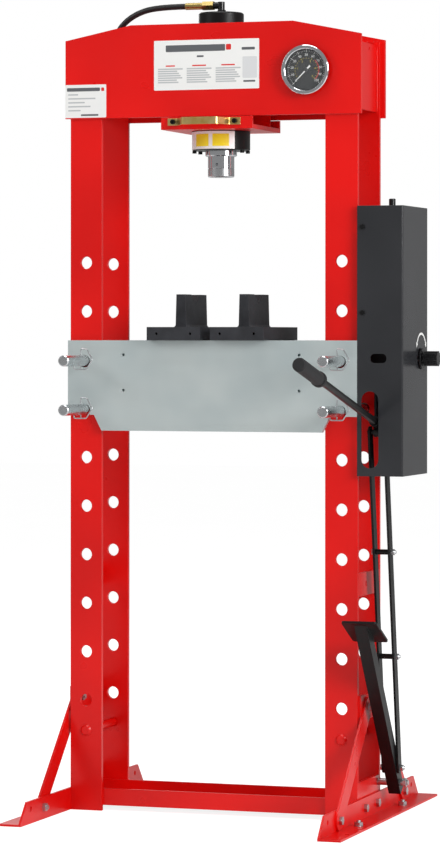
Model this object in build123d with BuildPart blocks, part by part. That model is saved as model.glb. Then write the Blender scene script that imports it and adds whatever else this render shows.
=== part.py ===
from build123d import *
import os
from math import atan2, cos, degrees, hypot, radians, sin, tan

os.makedirs("parts", exist_ok=True)

# Floor-standing hydraulic press with a sliding ram carriage, a pinned bed,
# and a pump worked by a hand lever or by a foot pedal.
# Millimetres. X runs to the right, Y to the back, Z up.
# The origin is on the floor, midway between the uprights.

# Driving sizes: frame
clear_width = 530.0
bar_width = 75.0
bar_thickness = 10.0
frame_depth = 166.0
crown_height = 1781.0
crown_rise = 32.0
beam_height = 209.0
shoulder_height = crown_height - crown_rise
beam_bottom = crown_height - beam_height
beam_plate_thickness = 8.0
beam_overhang = 10.0
crown_slope_run = 73.0
crown_half_width = clear_width / 2 - crown_slope_run
bar_top_gap = 4.0
end_plate_thickness = 8.0
end_plate_inset = 7.0
end_plate_margin = 13.0
end_plate_hole_diameter = 8.0
end_plate_hole_y = 23.0
end_plate_hole_drop = 24.0

# Driving sizes: pin holes and pins
pin_hole_diameter = 28.0
hole_pitch = 110.5
lowest_hole = 250.5
hole_count = 10
bed_hole_index = 7
pin_diameter = 25.0
pin_front_reach = 133.0
pin_rear_reach = 30.0
pin_chamfer = 2.0
contact_gap = 0.1

# Driving sizes: base, battens, feet and braces
batten_thickness = 8.0
base_batten_bottom = 12.0
base_batten_top = 86.0
brace_batten_centre = 252.0
brace_batten_height = 56.0
middle_batten_centre = 525.5
middle_batten_height = 51.0
slot_hole_width = 7.0
slot_hole_height = 14.0
slot_hole_y = -24.5
crossbar_height = 38.0
crossbar_wall = 5.0
foot_length = 800.0
foot_height = 50.0
foot_width = 52.0
foot_wall = 5.0
foot_corner_run = 40.0
foot_corner_base = 6.0
brace_width = 45.0
brace_thickness = 5.0
brace_foot_inset = 138.0
brace_foot_y = foot_length / 2 - brace_foot_inset
brace_top_y = 34.0
foot_bolt_height = 27.0
foot_bolt_y = 48.5
open_hole_inset = 62.0
open_hole_y = foot_length / 2 - open_hole_inset
open_hole_height = 32.0
open_hole_diameter = 12.0
anchor_end_inset = 220.0
anchor_y = foot_length / 2 - anchor_end_inset
anchor_inset = 24.0
spreader_height = 182.0
spreader_radius = 10.0
spreader_head_radius = 13.0
spreader_head_height = 4.0
spreader_head_taper = 45.0

# Driving sizes: fasteners
bolt_diameter = 10.0
bolt_head_height = 7.0
bolt_head_flats = 17.0
nut_height = 8.0
rod_nut_flats = 17.0
washer_thickness = 2.0
bolt_tip = 4.0
hole_clearance = 0.3

# Driving sizes: bed and V-blocks
bed_overhang = 2.0
bed_width = clear_width + 2 * (bar_width + bed_overhang)
bed_plate_thickness = 12.0
bed_top_above_pin = 46.0
bed_end_height = 169.0
bed_full_height = 204.5
bed_step_outer = clear_width / 2 + 14.0
bed_step_inner = clear_width / 2 - 4.0
bed_side_gap = 0.5
bed_small_hole_diameter = 7.0
bed_small_hole_inset = 57.0
bed_small_hole_x = clear_width / 2 - bed_small_hole_inset
bed_small_hole_drops = (32.5, 112.5)
cross_plate_thickness = 12.0
cross_plate_height = 130.0
cross_plate_drop = 8.0
block_width = 126.0
block_length = 256.0
block_base_height = 30.0
block_centres = (-81.0, 69.0)
block_fin_width = 21.0
block_fin_length = 150.0
block_fin_height = 74.0
block_fin_taper = 2.0
block_fillet = 6.0
notch_width = 62.0
notch_depth = 22.0
block_hole_diameter = 6.0
block_hole_depth = 20.0
block_hole_spacing = 80.0

# Driving sizes: ram carriage
carriage_rest_x = -10.0
carriage_width = 216.0
carriage_height = 28.0
carriage_gap = 1.0
carriage_web = 10.0
apron_thickness = 8.0
apron_proud = 4.0
rail_width = 16.0
rail_thickness = 8.0
rail_above_beam_bottom = 28.0
rail_height = beam_bottom + rail_above_beam_bottom
rail_end_gap = 1.0
pad_length = 30.0
pad_width = 18.0
pad_thickness = 14.0
pad_spacing = 150.0
sliding_gap = 0.3
running_gap = 0.05
hanger_thickness = 5.0
hanger_inner_y = 68.0
hanger_width = 190.0
hanger_rise = 5.0
handle_screw_x = (-78.0, 68.0)
handle_thickness = 3.0
handle_screw_rise = 17.0
handle_width = 16.0
handle_bow = 38.0
handle_eye_length = 26.0
handle_corner = 10.0
handle_screw_radius = 3.0
handle_head_radius = 5.5
handle_head_height = 6.0
socket_depth = 3.5

# Driving sizes: cylinder and ram
flange_radius = 66.0
flange_height = 44.0
barrel_radius = 55.0
bore_radius = 40.0
gland_radius = 36.0
gland_height = 13.0
gland_depth = 16.0
ram_radius = 30.0
piston_height = 36.0
piston_gap = 0.3
ram_nose_below_gland = 27.7
cap_radius = 51.5
cap_height = 27.0
cap_above_crown = 4.0
cap_bottom = crown_height + cap_above_crown
nose_height = 19.5
pad_spigot_radius = 12.0
pad_spigot_height = 16.0
spring_wire = 5.0
spring_turns = 7
flange_screw_circle = 60.6
flange_screw_radius = 2.8
flange_head_radius = 4.8
flange_head_height = 6.0
set_screw_radius = 3.0
set_screw_above_nose = 9.0

# Driving sizes: fittings and hose
fitting_height = 17.5
elbow_radius = 8.0
elbow_reach = 17.5
hose_nut_length = 26.0
hose_nut_flats = 19.0
sleeve_length = 42.0
sleeve_radius = 8.0
hose_radius = 6.5
hose_lead_out = 55.0
hose_lead_in = 36.0
pipe_lead_in = 40.0
pipe_radius = 3.0
pipe_nut_flats = 12.0
pipe_nut_length = 12.0

# Driving sizes: pressure gauge
gauge_inset = 40.0
gauge_above_beam_bottom = 98.0
gauge_x = clear_width / 2 - gauge_inset
gauge_height = beam_bottom + gauge_above_beam_bottom
gauge_case_radius = 52.0
gauge_case_depth = 14.0
gauge_wall = 2.0
bezel_radius = 55.0
bezel_opening = 46.0
bezel_lap = 3.0
bezel_front = 5.0
dial_thickness = 1.0
glass_thickness = 2.0
movement_radius = 15.0
movement_depth = 3.0
pointer_shaft_radius = 1.5
pointer_length = 36.0
pointer_tail = 13.0
pointer_width = 4.0
pointer_thickness = 1.0
pointer_gap = 1.5
pointer_rest_angle = 225.0
stem_radius = 7.0
stem_length = 36.0
stem_hole_radius = 14.0
stem_nut_lap = 3.0
stem_nut_height = 8.0

# Driving sizes: pump box. Heights run from the lever's pivot, places across from the bar's outer edge
pivot_height = 877.0
bar_outer_x = clear_width / 2 + bar_width
box_gap = 2.0
box_width = 105.0
box_side_reach = 22.0
box_depth = frame_depth + 2 * box_side_reach
box_below_pivot = 108.5
box_bottom = pivot_height - box_below_pivot
box_height = 598.5
box_sheet = 2.0
lever_slot_across = 31.6
lever_slot_drop = 6.0
lever_slot_width = 39.0
lever_slot_height = 170.0
small_slot_across = 51.0
small_slot_rise = 152.0
small_slot_width = 37.5
small_slot_height = 21.0
knob_hole_radius = 24.0
lug_thickness = 3.0
lug_reach = 26.0
lug_height = 30.0
lower_lug_drop = 37.0
middle_lug_rise = 253.0
top_lug_rise = 443.0
box_screw_radius = 3.0
box_screw_head_radius = 5.5
box_screw_head_height = 3.0

# Driving sizes: pump
pump_across = 39.0
pump_plane = bar_outer_x + pump_across
mount_plate_rise = 78.0
mount_plate_bottom = pivot_height + mount_plate_rise
mount_plate_height = 110.0
block_box_width = 64.0
block_front_y = -50.0
block_back_y = 58.0
pump_block_rise = 83.0
pump_block_bottom = pivot_height + pump_block_rise
pump_block_height = 90.0
valve_y = 42.0
valve_above_block_bottom = 68.0
valve_height = pump_block_bottom + valve_above_block_bottom
valve_stem_radius = 6.0
valve_stem_depth = 20.0
plunger_radius = 7.0
plunger_length = 105.0
plunger_bore_depth = 75.0
plunger_eye_width = 7.0
plunger_eye_radius = 8.0
plunger_neck = 18.0
tank_height = 285.0
tank_front_y = -45.0
tank_back_y = 20.0
tank_width = 58.0
tank_corner = 8.0
filler_across = 52.0
filler_x = bar_outer_x + filler_across
filler_y = 5.0
filler_neck_radius = 9.0
filler_plug_radius = 7.5
filler_plug_height = 18.0
hose_port_across = 38.0
pipe_port_across = 12.0
hose_port_x = bar_outer_x + hose_port_across
pipe_port_x = bar_outer_x + pipe_port_across

# Driving sizes: rocker, lever and foot linkage, as (y, z) points
rocker_pivot_y = -35.0
rocker_pivot = (rocker_pivot_y, pivot_height)
rocker_thickness = 16.0
rocker_hub_radius = 14.0
rocker_pin_radius = 6.0
crank_radius = 34.0
crank_angle = 20.0
crank_eye_radius = 11.0
crank_pin_radius = 5.0
plunger_arm = 24.0
plunger_pin_radius = 3.0
plunger_slot_gap = 1.0
fork_gap = 8.0
fork_reach = 42.0
plunger_slot_length = 15.0
fork_half_height = 8.0
cheek_thickness = 4.8
cheek_gap = 0.7
lever_angle = 12.9
socket_start = 24.0
socket_end = 62.0
socket_radius = 12.0
lever_radius = 8.0
lever_length = 641.0
grip_length = 149.0
grip_radius = 15.0
grip_collar_radius = 17.0
grip_collar_length = 10.0
pedal_pivot = (74.0, 71.5)
pedal_lean = 35.0
arm_length = 470.0
arm_width = 28.0
arm_depth = 30.0
arm_wall = 3.0
arm_tail = 22.0
pivot_rod_radius = 8.0
pivot_stud_radius = 6.0
pivot_rod_overhang = 6.0
pedal_width = 80.0
pedal_length = 108.0
pedal_plate_thickness = 5.0
pedal_tilt = 26.6
pedal_corner = 6.0
pedal_ahead = 46.0
pedal_rib_count = 7
pedal_rib_height = 2.0
pedal_rib_width = 4.0
link_thickness = 5.0
link_width = 26.0
link_pin_up_arm = 44.0
link_gap = 1.0
link_slot_play = 2.0
link_slot_side_play = 2.2
link_spacer_radius = 6.0
link_spacer_heights = (361.0, 597.0)
link_bolt_radius = 4.0
link_pin_radius = 5.0
link_nut_flats = 13.0
link_nut_height = 7.0
link_bolt_head = 5.0
dome_radius = 5.5
dome_height = 4.0

# Driving sizes: release knob
knob_disc_radius = 23.0
knob_disc_thickness = 4.5
knob_radius = 17.0
knob_length = 33.0
knob_gap = 2.5
knob_hub_radius = 11.0
knob_hub_length = 2.5
knob_flutes = 12
knob_flute_radius = 2.5

# Driving sizes: spring clips
clip_wire = 3.0
clip_from_plate = 22.0
clip_leg_above = 16.0
clip_side_reach = 30.0
clip_bail_height = 20.0

# Sizes worked out from the driving ones
bar_inner_x = clear_width / 2
bar_centre_x = bar_inner_x + bar_width / 2
bar_inner_y = frame_depth / 2
bar_outer_y = bar_inner_y + bar_thickness
beam_front_y = bar_outer_y + beam_plate_thickness
beam_half_width = bar_outer_x + beam_overhang
batten_inner_x = bar_outer_x - batten_thickness
leg_outer_x = bar_outer_x + foot_wall
brace_outer_x = leg_outer_x + brace_thickness
pin_drop = (pin_hole_diameter - pin_diameter) / 2 - contact_gap
upper_pin_z = lowest_hole + bed_hole_index * hole_pitch - pin_drop
lower_pin_z = upper_pin_z - hole_pitch
bed_top = upper_pin_z + bed_top_above_pin
bed_inner_y = bar_outer_y + bed_side_gap
bed_outer_y = bed_inner_y + bed_plate_thickness
carriage_top = beam_bottom - carriage_gap
carriage_bottom = carriage_top - carriage_height
carriage_outer_y = beam_front_y + apron_proud
rail_top = rail_height + rail_thickness
brace_batten_x = leg_outer_x
flange_bottom = carriage_bottom - flange_height
gland_bottom = flange_bottom - gland_height
ram_nose = gland_bottom - ram_nose_below_gland
piston_top = cap_bottom - 1.0
piston_bottom = piston_top - piston_height
gland_top = flange_bottom + gland_depth
fitting_z = cap_bottom + cap_height + fitting_height
box_left = bar_outer_x + box_gap
box_right = box_left + box_width
box_half_depth = box_depth / 2
box_top = box_bottom + box_height
pump_block_top = pump_block_bottom + pump_block_height
pump_block_right = bar_outer_x + block_box_width
lug_screw_x = bar_outer_x + lug_thickness + (lug_reach - lug_thickness) / 2
high_screws = [(lug_screw_x, pivot_height + rise) for rise in (middle_lug_rise, top_lug_rise)]
screw_places = {-1: high_screws, 1: [(lug_screw_x, pivot_height - lower_lug_drop)] + high_screws}
link_inner = arm_width / 2 + link_gap
link_outer = link_inner + link_thickness


def front_plane(y):
    """A sketch plane that faces the front, at depth y."""
    return Plane.XZ.offset(-y)


def side_plane(x):
    """A sketch plane that faces right, at x. Its own x runs to the back."""
    return Plane.YZ.offset(x)


def level_plane(z):
    """A level sketch plane at height z."""
    return Plane.XY.offset(z)


def turned(point, centre, angle):
    """A (y, z) point turned about a centre, from +Y towards +Z."""
    y = point[0] - centre[0]
    z = point[1] - centre[1]
    c = cos(radians(angle))
    s = sin(radians(angle))
    return (centre[0] + y * c - z * s, centre[1] + y * s + z * c)


def save(builder, name):
    """Label a finished piece and write it."""
    builder.part.label = name
    export_step(builder.part, f"parts/{name}.step")


# Points of the linkage in the side view
crank_pin = turned((rocker_pivot[0] - crank_radius, rocker_pivot[1]), rocker_pivot, crank_angle)
plunger_y = rocker_pivot[0] + plunger_arm
arm_angle = 90.0 + pedal_lean
link_pin = turned((pedal_pivot[0] + link_pin_up_arm, pedal_pivot[1]), pedal_pivot, arm_angle)
link_length = hypot(crank_pin[0] - link_pin[0], crank_pin[1] - link_pin[1])
link_angle = degrees(atan2(crank_pin[1] - link_pin[1], crank_pin[0] - link_pin[0]))


# Uprights: flat bars drilled for the bed's pins, one in front and one behind on each side
def make_uprights(side, name):
    with BuildPart() as bars:
        for face in (-1, 1):
            with BuildSketch(front_plane(face * bar_outer_y)):
                top = shoulder_height - bar_top_gap
                with Locations((side * bar_centre_x, top / 2)):
                    Rectangle(bar_width, top)
                for k in range(hole_count):
                    with Locations((side * bar_centre_x, lowest_hole + k * hole_pitch)):
                        Circle(pin_hole_diameter / 2, mode=Mode.SUBTRACT)
                with Locations((side * bar_centre_x, spreader_height)):
                    Circle(spreader_radius + hole_clearance, mode=Mode.SUBTRACT)
            extrude(amount=face * bar_thickness)
    save(bars, name)


# Beam plates with sloping shoulders, one each side of the uprights
def make_beam_plate(face, name):
    with BuildPart() as plate:
        with BuildSketch(front_plane(face * beam_front_y)):
            with BuildLine():
                Polyline(
                    (-beam_half_width, beam_bottom),
                    (beam_half_width, beam_bottom),
                    (beam_half_width, shoulder_height),
                    (crown_half_width, crown_height),
                    (-crown_half_width, crown_height),
                    (-beam_half_width, shoulder_height),
                    close=True,
                )
            make_face()
            if face < 0:
                with Locations((gauge_x, gauge_height)):
                    Circle(stem_hole_radius, mode=Mode.SUBTRACT)
        extrude(amount=face * beam_plate_thickness)
    save(plate, name)


# Plates that close the beam's ends between the bars
def make_beam_end_plates():
    with BuildPart() as plates:
        for side in (-1, 1):
            with BuildSketch(side_plane(side * (bar_outer_x - end_plate_inset))):
                middle = (beam_bottom + shoulder_height) / 2
                with Locations((0, middle)):
                    Rectangle(frame_depth, shoulder_height - beam_bottom - 2 * end_plate_margin)
                with Locations((end_plate_hole_y, shoulder_height - end_plate_hole_drop)):
                    Circle(end_plate_hole_diameter / 2, mode=Mode.SUBTRACT)
            extrude(amount=-side * end_plate_thickness)
    save(plates, "beam_end_plates")


# Battens between the front and rear bars: (outer x, middle height, height, bolt holes)
def batten_places():
    base = ((base_batten_top + base_batten_bottom) / 2, base_batten_top - base_batten_bottom)
    base_holes = [(-foot_bolt_y, foot_bolt_height), (foot_bolt_y, foot_bolt_height)]
    brace_holes = [(-brace_top_y, brace_batten_centre), (brace_top_y, brace_batten_centre)]
    mount_middle = mount_plate_bottom + mount_plate_height / 2
    places = [(1, bar_outer_x, mount_middle, mount_plate_height, [])]
    for side in (-1, 1):
        places.append((side, bar_outer_x, *base, base_holes))
        places.append((side, brace_batten_x, brace_batten_centre, brace_batten_height, brace_holes))
        places.append((side, bar_outer_x, middle_batten_centre, middle_batten_height, []))
    return places


def make_battens():
    with BuildPart() as battens:
        for side, outer_x, middle, height, holes in batten_places():
            with BuildSketch(side_plane(side * outer_x)):
                with Locations((0, middle)):
                    Rectangle(frame_depth, height)
                for hole in holes:
                    with Locations(hole):
                        Circle(bolt_diameter / 2 + hole_clearance, mode=Mode.SUBTRACT)
            extrude(amount=-side * batten_thickness)
        for side in (-1, 1):
            with BuildSketch(side_plane(side * bar_outer_x)):
                with Locations((slot_hole_y, middle_batten_centre)):
                    SlotOverall(slot_hole_height, slot_hole_width, rotation=90)
            extrude(amount=-side * batten_thickness, mode=Mode.SUBTRACT)
        with BuildSketch(side_plane(bar_outer_x)):
            with Locations(pedal_pivot):
                Circle(pivot_stud_radius + hole_clearance)
        extrude(amount=-batten_thickness, mode=Mode.SUBTRACT)
    save(battens, "battens")


# Angle-iron foot with cut top corners, leg against the upright and flange outwards
def make_foot(side, name):
    half = foot_length / 2
    with BuildPart() as foot:
        with BuildSketch(side_plane(side * bar_outer_x)):
            with BuildLine():
                Polyline(
                    (-half, 0),
                    (half, 0),
                    (half, foot_corner_base),
                    (half - foot_corner_run, foot_height),
                    (-half + foot_corner_run, foot_height),
                    (-half, foot_corner_base),
                    close=True,
                )
            make_face()
            with Locations((-foot_bolt_y, foot_bolt_height), (foot_bolt_y, foot_bolt_height),
                           (-brace_foot_y, foot_bolt_height), (brace_foot_y, foot_bolt_height)):
                Circle(bolt_diameter / 2 + hole_clearance, mode=Mode.SUBTRACT)
            with Locations((-open_hole_y, open_hole_height), (open_hole_y, open_hole_height)):
                Circle(open_hole_diameter / 2, mode=Mode.SUBTRACT)
        extrude(amount=side * foot_wall)
        with BuildSketch(level_plane(0)):
            with Locations((side * (bar_outer_x + foot_width / 2), 0)):
                Rectangle(foot_width, foot_length)
            anchor_x = side * (bar_outer_x + foot_width - anchor_inset)
            with Locations((anchor_x, -anchor_y), (anchor_x, anchor_y)):
                Circle(bolt_diameter / 2 + hole_clearance, mode=Mode.SUBTRACT)
        extrude(amount=foot_wall)
    save(foot, name)


# Flat braces from the feet's legs up to the brace battens
def make_braces():
    with BuildPart() as braces:
        for side in (-1, 1):
            for face in (-1, 1):
                low = (face * brace_foot_y, foot_bolt_height)
                high = (face * brace_top_y, brace_batten_centre)
                run = hypot(high[0] - low[0], high[1] - low[1])
                slope = degrees(atan2(high[1] - low[1], high[0] - low[0]))
                middle = ((low[0] + high[0]) / 2, (low[1] + high[1]) / 2)
                with BuildSketch(side_plane(side * leg_outer_x)):
                    with Locations(middle):
                        SlotCenterToCenter(run, brace_width, rotation=slope)
                    with Locations(low, high):
                        Circle(bolt_diameter / 2 + hole_clearance, mode=Mode.SUBTRACT)
                    with Locations((middle[0], (foot_wall + contact_gap) / 2 - brace_width / 2)):
                        Rectangle(foot_length, brace_width + foot_wall + contact_gap, mode=Mode.SUBTRACT)
                extrude(amount=side * brace_thickness)
    save(braces, "braces")


# Upturned channel that ties the two uprights together at the floor
def make_crossbar():
    with BuildPart() as crossbar:
        with BuildSketch(side_plane(-batten_inner_x)):
            with Locations((0, base_batten_bottom + crossbar_height / 2)):
                Rectangle(frame_depth, crossbar_height)
            with Locations((0, base_batten_bottom + crossbar_wall + crossbar_height / 2)):
                Rectangle(frame_depth - 2 * crossbar_wall, crossbar_height, mode=Mode.SUBTRACT)
        extrude(amount=2 * batten_inner_x)
    save(crossbar, "base_crossbar")


# Round spreader rods between the front and rear bars, with low domed ends
def make_spreader_rods():
    with BuildPart() as rods:
        for x in (-bar_centre_x, bar_centre_x):
            with BuildSketch(front_plane(-bar_outer_y)):
                with Locations((x, spreader_height)):
                    Circle(spreader_radius)
            extrude(amount=-2 * bar_outer_y)
            for face in (-1, 1):
                with BuildSketch(front_plane(face * bar_outer_y)):
                    with Locations((x, spreader_height)):
                        Circle(spreader_head_radius)
                extrude(amount=-face * spreader_head_height, taper=spreader_head_taper)
    save(rods, "spreader_rods")


# Hexagon bolts and nuts on sideways axes: (side, y, z, x under the head, x of the nut's face)
def bolt_places():
    places = []
    for side in (-1, 1):
        for face in (-1, 1):
            places.append((side, face * foot_bolt_y, foot_bolt_height, leg_outer_x, batten_inner_x))
            places.append((side, face * brace_foot_y, foot_bolt_height, brace_outer_x, bar_outer_x))
            brace_nut_x = brace_batten_x - batten_thickness
            places.append((side, face * brace_top_y, brace_batten_centre, brace_outer_x, brace_nut_x))
    return places


def make_frame_bolts():
    with BuildPart() as bolts:
        for side, y, z, head_x, nut_x in bolt_places():
            with BuildSketch(side_plane(side * head_x)):
                with Locations((y, z)):
                    RegularPolygon(bolt_head_flats / 2, 6, major_radius=False)
            extrude(amount=side * bolt_head_height)
            with BuildSketch(side_plane(side * head_x)):
                with Locations((y, z)):
                    Circle(bolt_diameter / 2)
            extrude(amount=-side * (head_x - nut_x + nut_height + bolt_tip))
    save(bolts, "frame_bolts")


def make_frame_nuts():
    rod_nut_x = pump_plane + arm_width / 2 + pivot_rod_overhang
    with BuildPart() as nuts:
        for side, y, z, head_x, nut_x in bolt_places():
            with BuildSketch(side_plane(side * nut_x)):
                with Locations((y, z)):
                    RegularPolygon(bolt_head_flats / 2, 6, major_radius=False)
                    Circle(bolt_diameter / 2 + running_gap, mode=Mode.SUBTRACT)
            extrude(amount=-side * nut_height)
        for x, way in ((batten_inner_x, -1), (rod_nut_x, 1)):
            with BuildSketch(side_plane(x)):
                with Locations(pedal_pivot):
                    RegularPolygon(rod_nut_flats / 2, 6, major_radius=False, rotation=30)
                    Circle(pivot_stud_radius + running_gap, mode=Mode.SUBTRACT)
            extrude(amount=way * nut_height)
    save(nuts, "frame_nuts")


# Anchor bolts that stand in the feet's flanges
def make_anchor_bolts():
    with BuildPart() as anchors:
        anchor_x = bar_outer_x + foot_width - anchor_inset
        places = [(side * anchor_x, face * anchor_y) for side in (-1, 1) for face in (-1, 1)]
        with BuildSketch(level_plane(foot_wall)):
            with Locations(*places):
                Circle(bolt_head_flats * 0.62)
        extrude(amount=washer_thickness)
        with BuildSketch(level_plane(foot_wall + washer_thickness)):
            with Locations(*places):
                RegularPolygon(bolt_head_flats / 2, 6, major_radius=False)
        extrude(amount=bolt_head_height)
        with BuildSketch(level_plane(contact_gap)):
            with Locations(*places):
                Circle(bolt_diameter / 2)
        extrude(amount=foot_wall + washer_thickness + bolt_head_height + bolt_tip)
    save(anchors, "anchor_bolts")


# Bed side plate: round holes over the upper pins and saddles over the lower pins
def make_bed_plate(face, name):
    half = bed_width / 2
    low = bed_top - bed_full_height
    end_low = bed_top - bed_end_height
    with BuildPart() as plate:
        with BuildSketch(front_plane(face * bed_outer_y)):
            with BuildLine():
                Polyline(
                    (-half, bed_top),
                    (half, bed_top),
                    (half, end_low),
                    (bed_step_outer, end_low),
                    (bed_step_inner, low),
                    (-bed_step_inner, low),
                    (-bed_step_outer, end_low),
                    (-half, end_low),
                    close=True,
                )
            make_face()
            for side in (-1, 1):
                with Locations((side * bar_centre_x, upper_pin_z - pin_drop)):
                    Circle(pin_hole_diameter / 2, mode=Mode.SUBTRACT)
                with Locations((side * bar_centre_x, lower_pin_z - pin_drop)):
                    Circle(pin_hole_diameter / 2, mode=Mode.SUBTRACT)
                with Locations((side * bar_centre_x, lower_pin_z - pin_drop - pin_hole_diameter / 2)):
                    Rectangle(pin_hole_diameter, pin_hole_diameter, mode=Mode.SUBTRACT)
                for drop in bed_small_hole_drops:
                    with Locations((side * bed_small_hole_x, bed_top - drop)):
                        Circle(bed_small_hole_diameter / 2, mode=Mode.SUBTRACT)
        extrude(amount=face * bed_plate_thickness)
    save(plate, name)


# Upright plates that hold the bed's two side plates apart
def make_bed_cross_plates():
    with BuildPart() as plates:
        for side in (-1, 1):
            with BuildSketch(side_plane(side * bed_small_hole_x - cross_plate_thickness / 2)):
                with Locations((0, bed_top - cross_plate_drop - cross_plate_height / 2)):
                    Rectangle(2 * bed_inner_y, cross_plate_height)
            extrude(amount=cross_plate_thickness)
    save(plates, "bed_cross_plates")


# Bed pins, which lie on the floors of the bars' holes
def make_bed_pins():
    length = bed_outer_y + pin_front_reach + bed_outer_y + pin_rear_reach
    places = [(side * bar_centre_x, z) for side in (-1, 1) for z in (upper_pin_z, lower_pin_z)]
    with BuildPart() as pins:
        with BuildSketch(front_plane(-bed_outer_y - pin_front_reach)):
            with Locations(*places):
                Circle(pin_diameter / 2)
        extrude(amount=-length)
        chamfer(pins.edges().filter_by(GeomType.CIRCLE), pin_chamfer)
        for x, z in places:
            with BuildSketch(level_plane(z)):
                with Locations((x, -bed_outer_y - clip_from_plate)):
                    Circle(clip_wire / 2 + hole_clearance)
            extrude(amount=pin_diameter, both=True, mode=Mode.SUBTRACT)
    save(pins, "bed_pins")


# Spring clips: a straight leg through the pin and a bail sprung round it
def make_pin_clips():
    with BuildPart() as clips:
        for side in (-1, 1):
            for height in (upper_pin_z, lower_pin_z):
                x = side * bar_centre_x
                y = -bed_outer_y - clip_from_plate
                r = pin_diameter / 2
                reach = clip_side_reach - r
                near = y - clip_wire * 2
                path = [
                    (x, y, height - r - clip_leg_above / 2),
                    (x, y, height + r + clip_leg_above),
                    (x + clip_side_reach * 0.55, y - clip_wire, height + clip_bail_height + reach * 0.3),
                    (x + clip_side_reach, near, height + 2),
                    (x + clip_side_reach * 0.5, near, height - clip_bail_height),
                    (x - clip_side_reach * 0.45, near, height - clip_bail_height),
                    (x - r - clip_wire, near, height),
                ]
                with BuildLine() as wire:
                    FilletPolyline(*path, radius=clip_wire * 1.2)
                start = wire.wire() @ 0
                direction = wire.wire() % 0
                with BuildSketch(Plane(origin=start, z_dir=direction)):
                    RegularPolygon(clip_wire / 2, 8)
                sweep(path=wire.wire())
    save(clips, "pin_clips")


# V-block: flat base with a slightly tapered fin, notched across its top
def make_v_block(centre, name):
    base_top = bed_top + contact_gap + block_base_height
    fin_top = base_top + block_fin_height
    with BuildPart() as block:
        with BuildSketch(level_plane(bed_top + contact_gap)):
            with Locations((centre, 0)):
                Rectangle(block_width, block_length)
        extrude(amount=block_base_height)
        with BuildSketch(front_plane(-block_fin_length / 2)):
            half_top = block_fin_width / 2
            half_foot = half_top + block_fin_taper
            with BuildLine():
                Polyline(
                    (centre - half_foot, base_top),
                    (centre + half_foot, base_top),
                    (centre + half_top, fin_top),
                    (centre - half_top, fin_top),
                    close=True,
                )
            make_face()
        extrude(amount=-block_fin_length)
        root = block.edges().filter_by(Axis.Y).filter_by_position(Axis.Z, base_top - 0.1, base_top + 0.1)
        fillet(root.sort_by(lambda e: abs(e.center().X - centre))[:2], block_fillet)
        with BuildSketch(side_plane(centre)):
            with BuildLine():
                Polyline(
                    (-notch_width / 2, fin_top),
                    (notch_width / 2, fin_top),
                    (0, fin_top - notch_depth),
                    close=True,
                )
            make_face()
        extrude(amount=block_width, both=True, mode=Mode.SUBTRACT)
        with BuildSketch(front_plane(-block_length / 2)):
            z = bed_top + contact_gap + block_base_height / 2
            with Locations((centre - block_hole_spacing / 2, z), (centre + block_hole_spacing / 2, z)):
                Circle(block_hole_diameter / 2)
        extrude(amount=-block_hole_depth, mode=Mode.SUBTRACT)
    save(block, name)


# Rails inside the beam for the carriage's slide pads
def make_rails():
    with BuildPart() as rails:
        for face in (-1, 1):
            with BuildSketch(side_plane(-bar_inner_x + rail_end_gap)):
                with Locations((face * (bar_outer_y - rail_width / 2), rail_height + rail_thickness / 2)):
                    Rectangle(rail_width, rail_thickness)
            extrude(amount=2 * (bar_inner_x - rail_end_gap))
    save(rails, "carriage_rails")


# Carriage: channel under the beam, bored for the cylinder, with hanger plates up into the beam
def make_carriage_frame():
    hanger_bottom = carriage_bottom + carriage_web
    hanger_height = rail_top + sliding_gap + pad_thickness + hanger_rise - hanger_bottom
    with BuildPart() as channel:
        with BuildSketch(side_plane(carriage_rest_x - carriage_width / 2)):
            with Locations((0, carriage_bottom + carriage_height / 2)):
                Rectangle(2 * carriage_outer_y, carriage_height)
            with Locations((0, carriage_bottom + carriage_web + carriage_height / 2)):
                Rectangle(2 * (carriage_outer_y - apron_thickness), carriage_height, mode=Mode.SUBTRACT)
        extrude(amount=carriage_width)
        for face in (-1, 1):
            with BuildSketch(front_plane(face * hanger_inner_y)):
                with Locations((carriage_rest_x, hanger_bottom + hanger_height / 2)):
                    Rectangle(hanger_width, hanger_height)
            extrude(amount=-face * hanger_thickness)
        with BuildSketch(level_plane(carriage_bottom)):
            with Locations((carriage_rest_x, 0)):
                Circle(barrel_radius + hole_clearance)
            with Locations(*flange_screw_places()):
                Circle(flange_screw_radius + hole_clearance)
        extrude(amount=carriage_web, mode=Mode.SUBTRACT)
        with BuildSketch(front_plane(-carriage_outer_y)):
            with Locations(*handle_screw_places()):
                Circle(handle_screw_radius + hole_clearance)
        extrude(amount=-apron_thickness, mode=Mode.SUBTRACT)
    save(channel, "carriage_frame")


# Slide pads on the hangers, which ride on the rails
def make_slide_pads():
    with BuildPart() as pads:
        for face in (-1, 1):
            with BuildSketch(front_plane(face * (hanger_inner_y + hanger_thickness))):
                for end in (-1, 1):
                    place_x = carriage_rest_x + end * pad_spacing / 2
                    with Locations((place_x, rail_top + sliding_gap + pad_thickness / 2)):
                        Rectangle(pad_length, pad_thickness)
            extrude(amount=-face * pad_width)
    save(pads, "slide_pads")


def flange_screw_places():
    """The four screws of the cylinder's flange, on the diagonals."""
    places = []
    for angle in (20, 160, 200, 340):
        across = flange_screw_circle * cos(radians(angle))
        places.append((carriage_rest_x + across, flange_screw_circle * sin(radians(angle))))
    return places


def handle_screw_places():
    """The two screws of the handle, on the carriage's front apron."""
    return [(carriage_rest_x + x, carriage_bottom + handle_screw_rise) for x in handle_screw_x]


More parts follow.
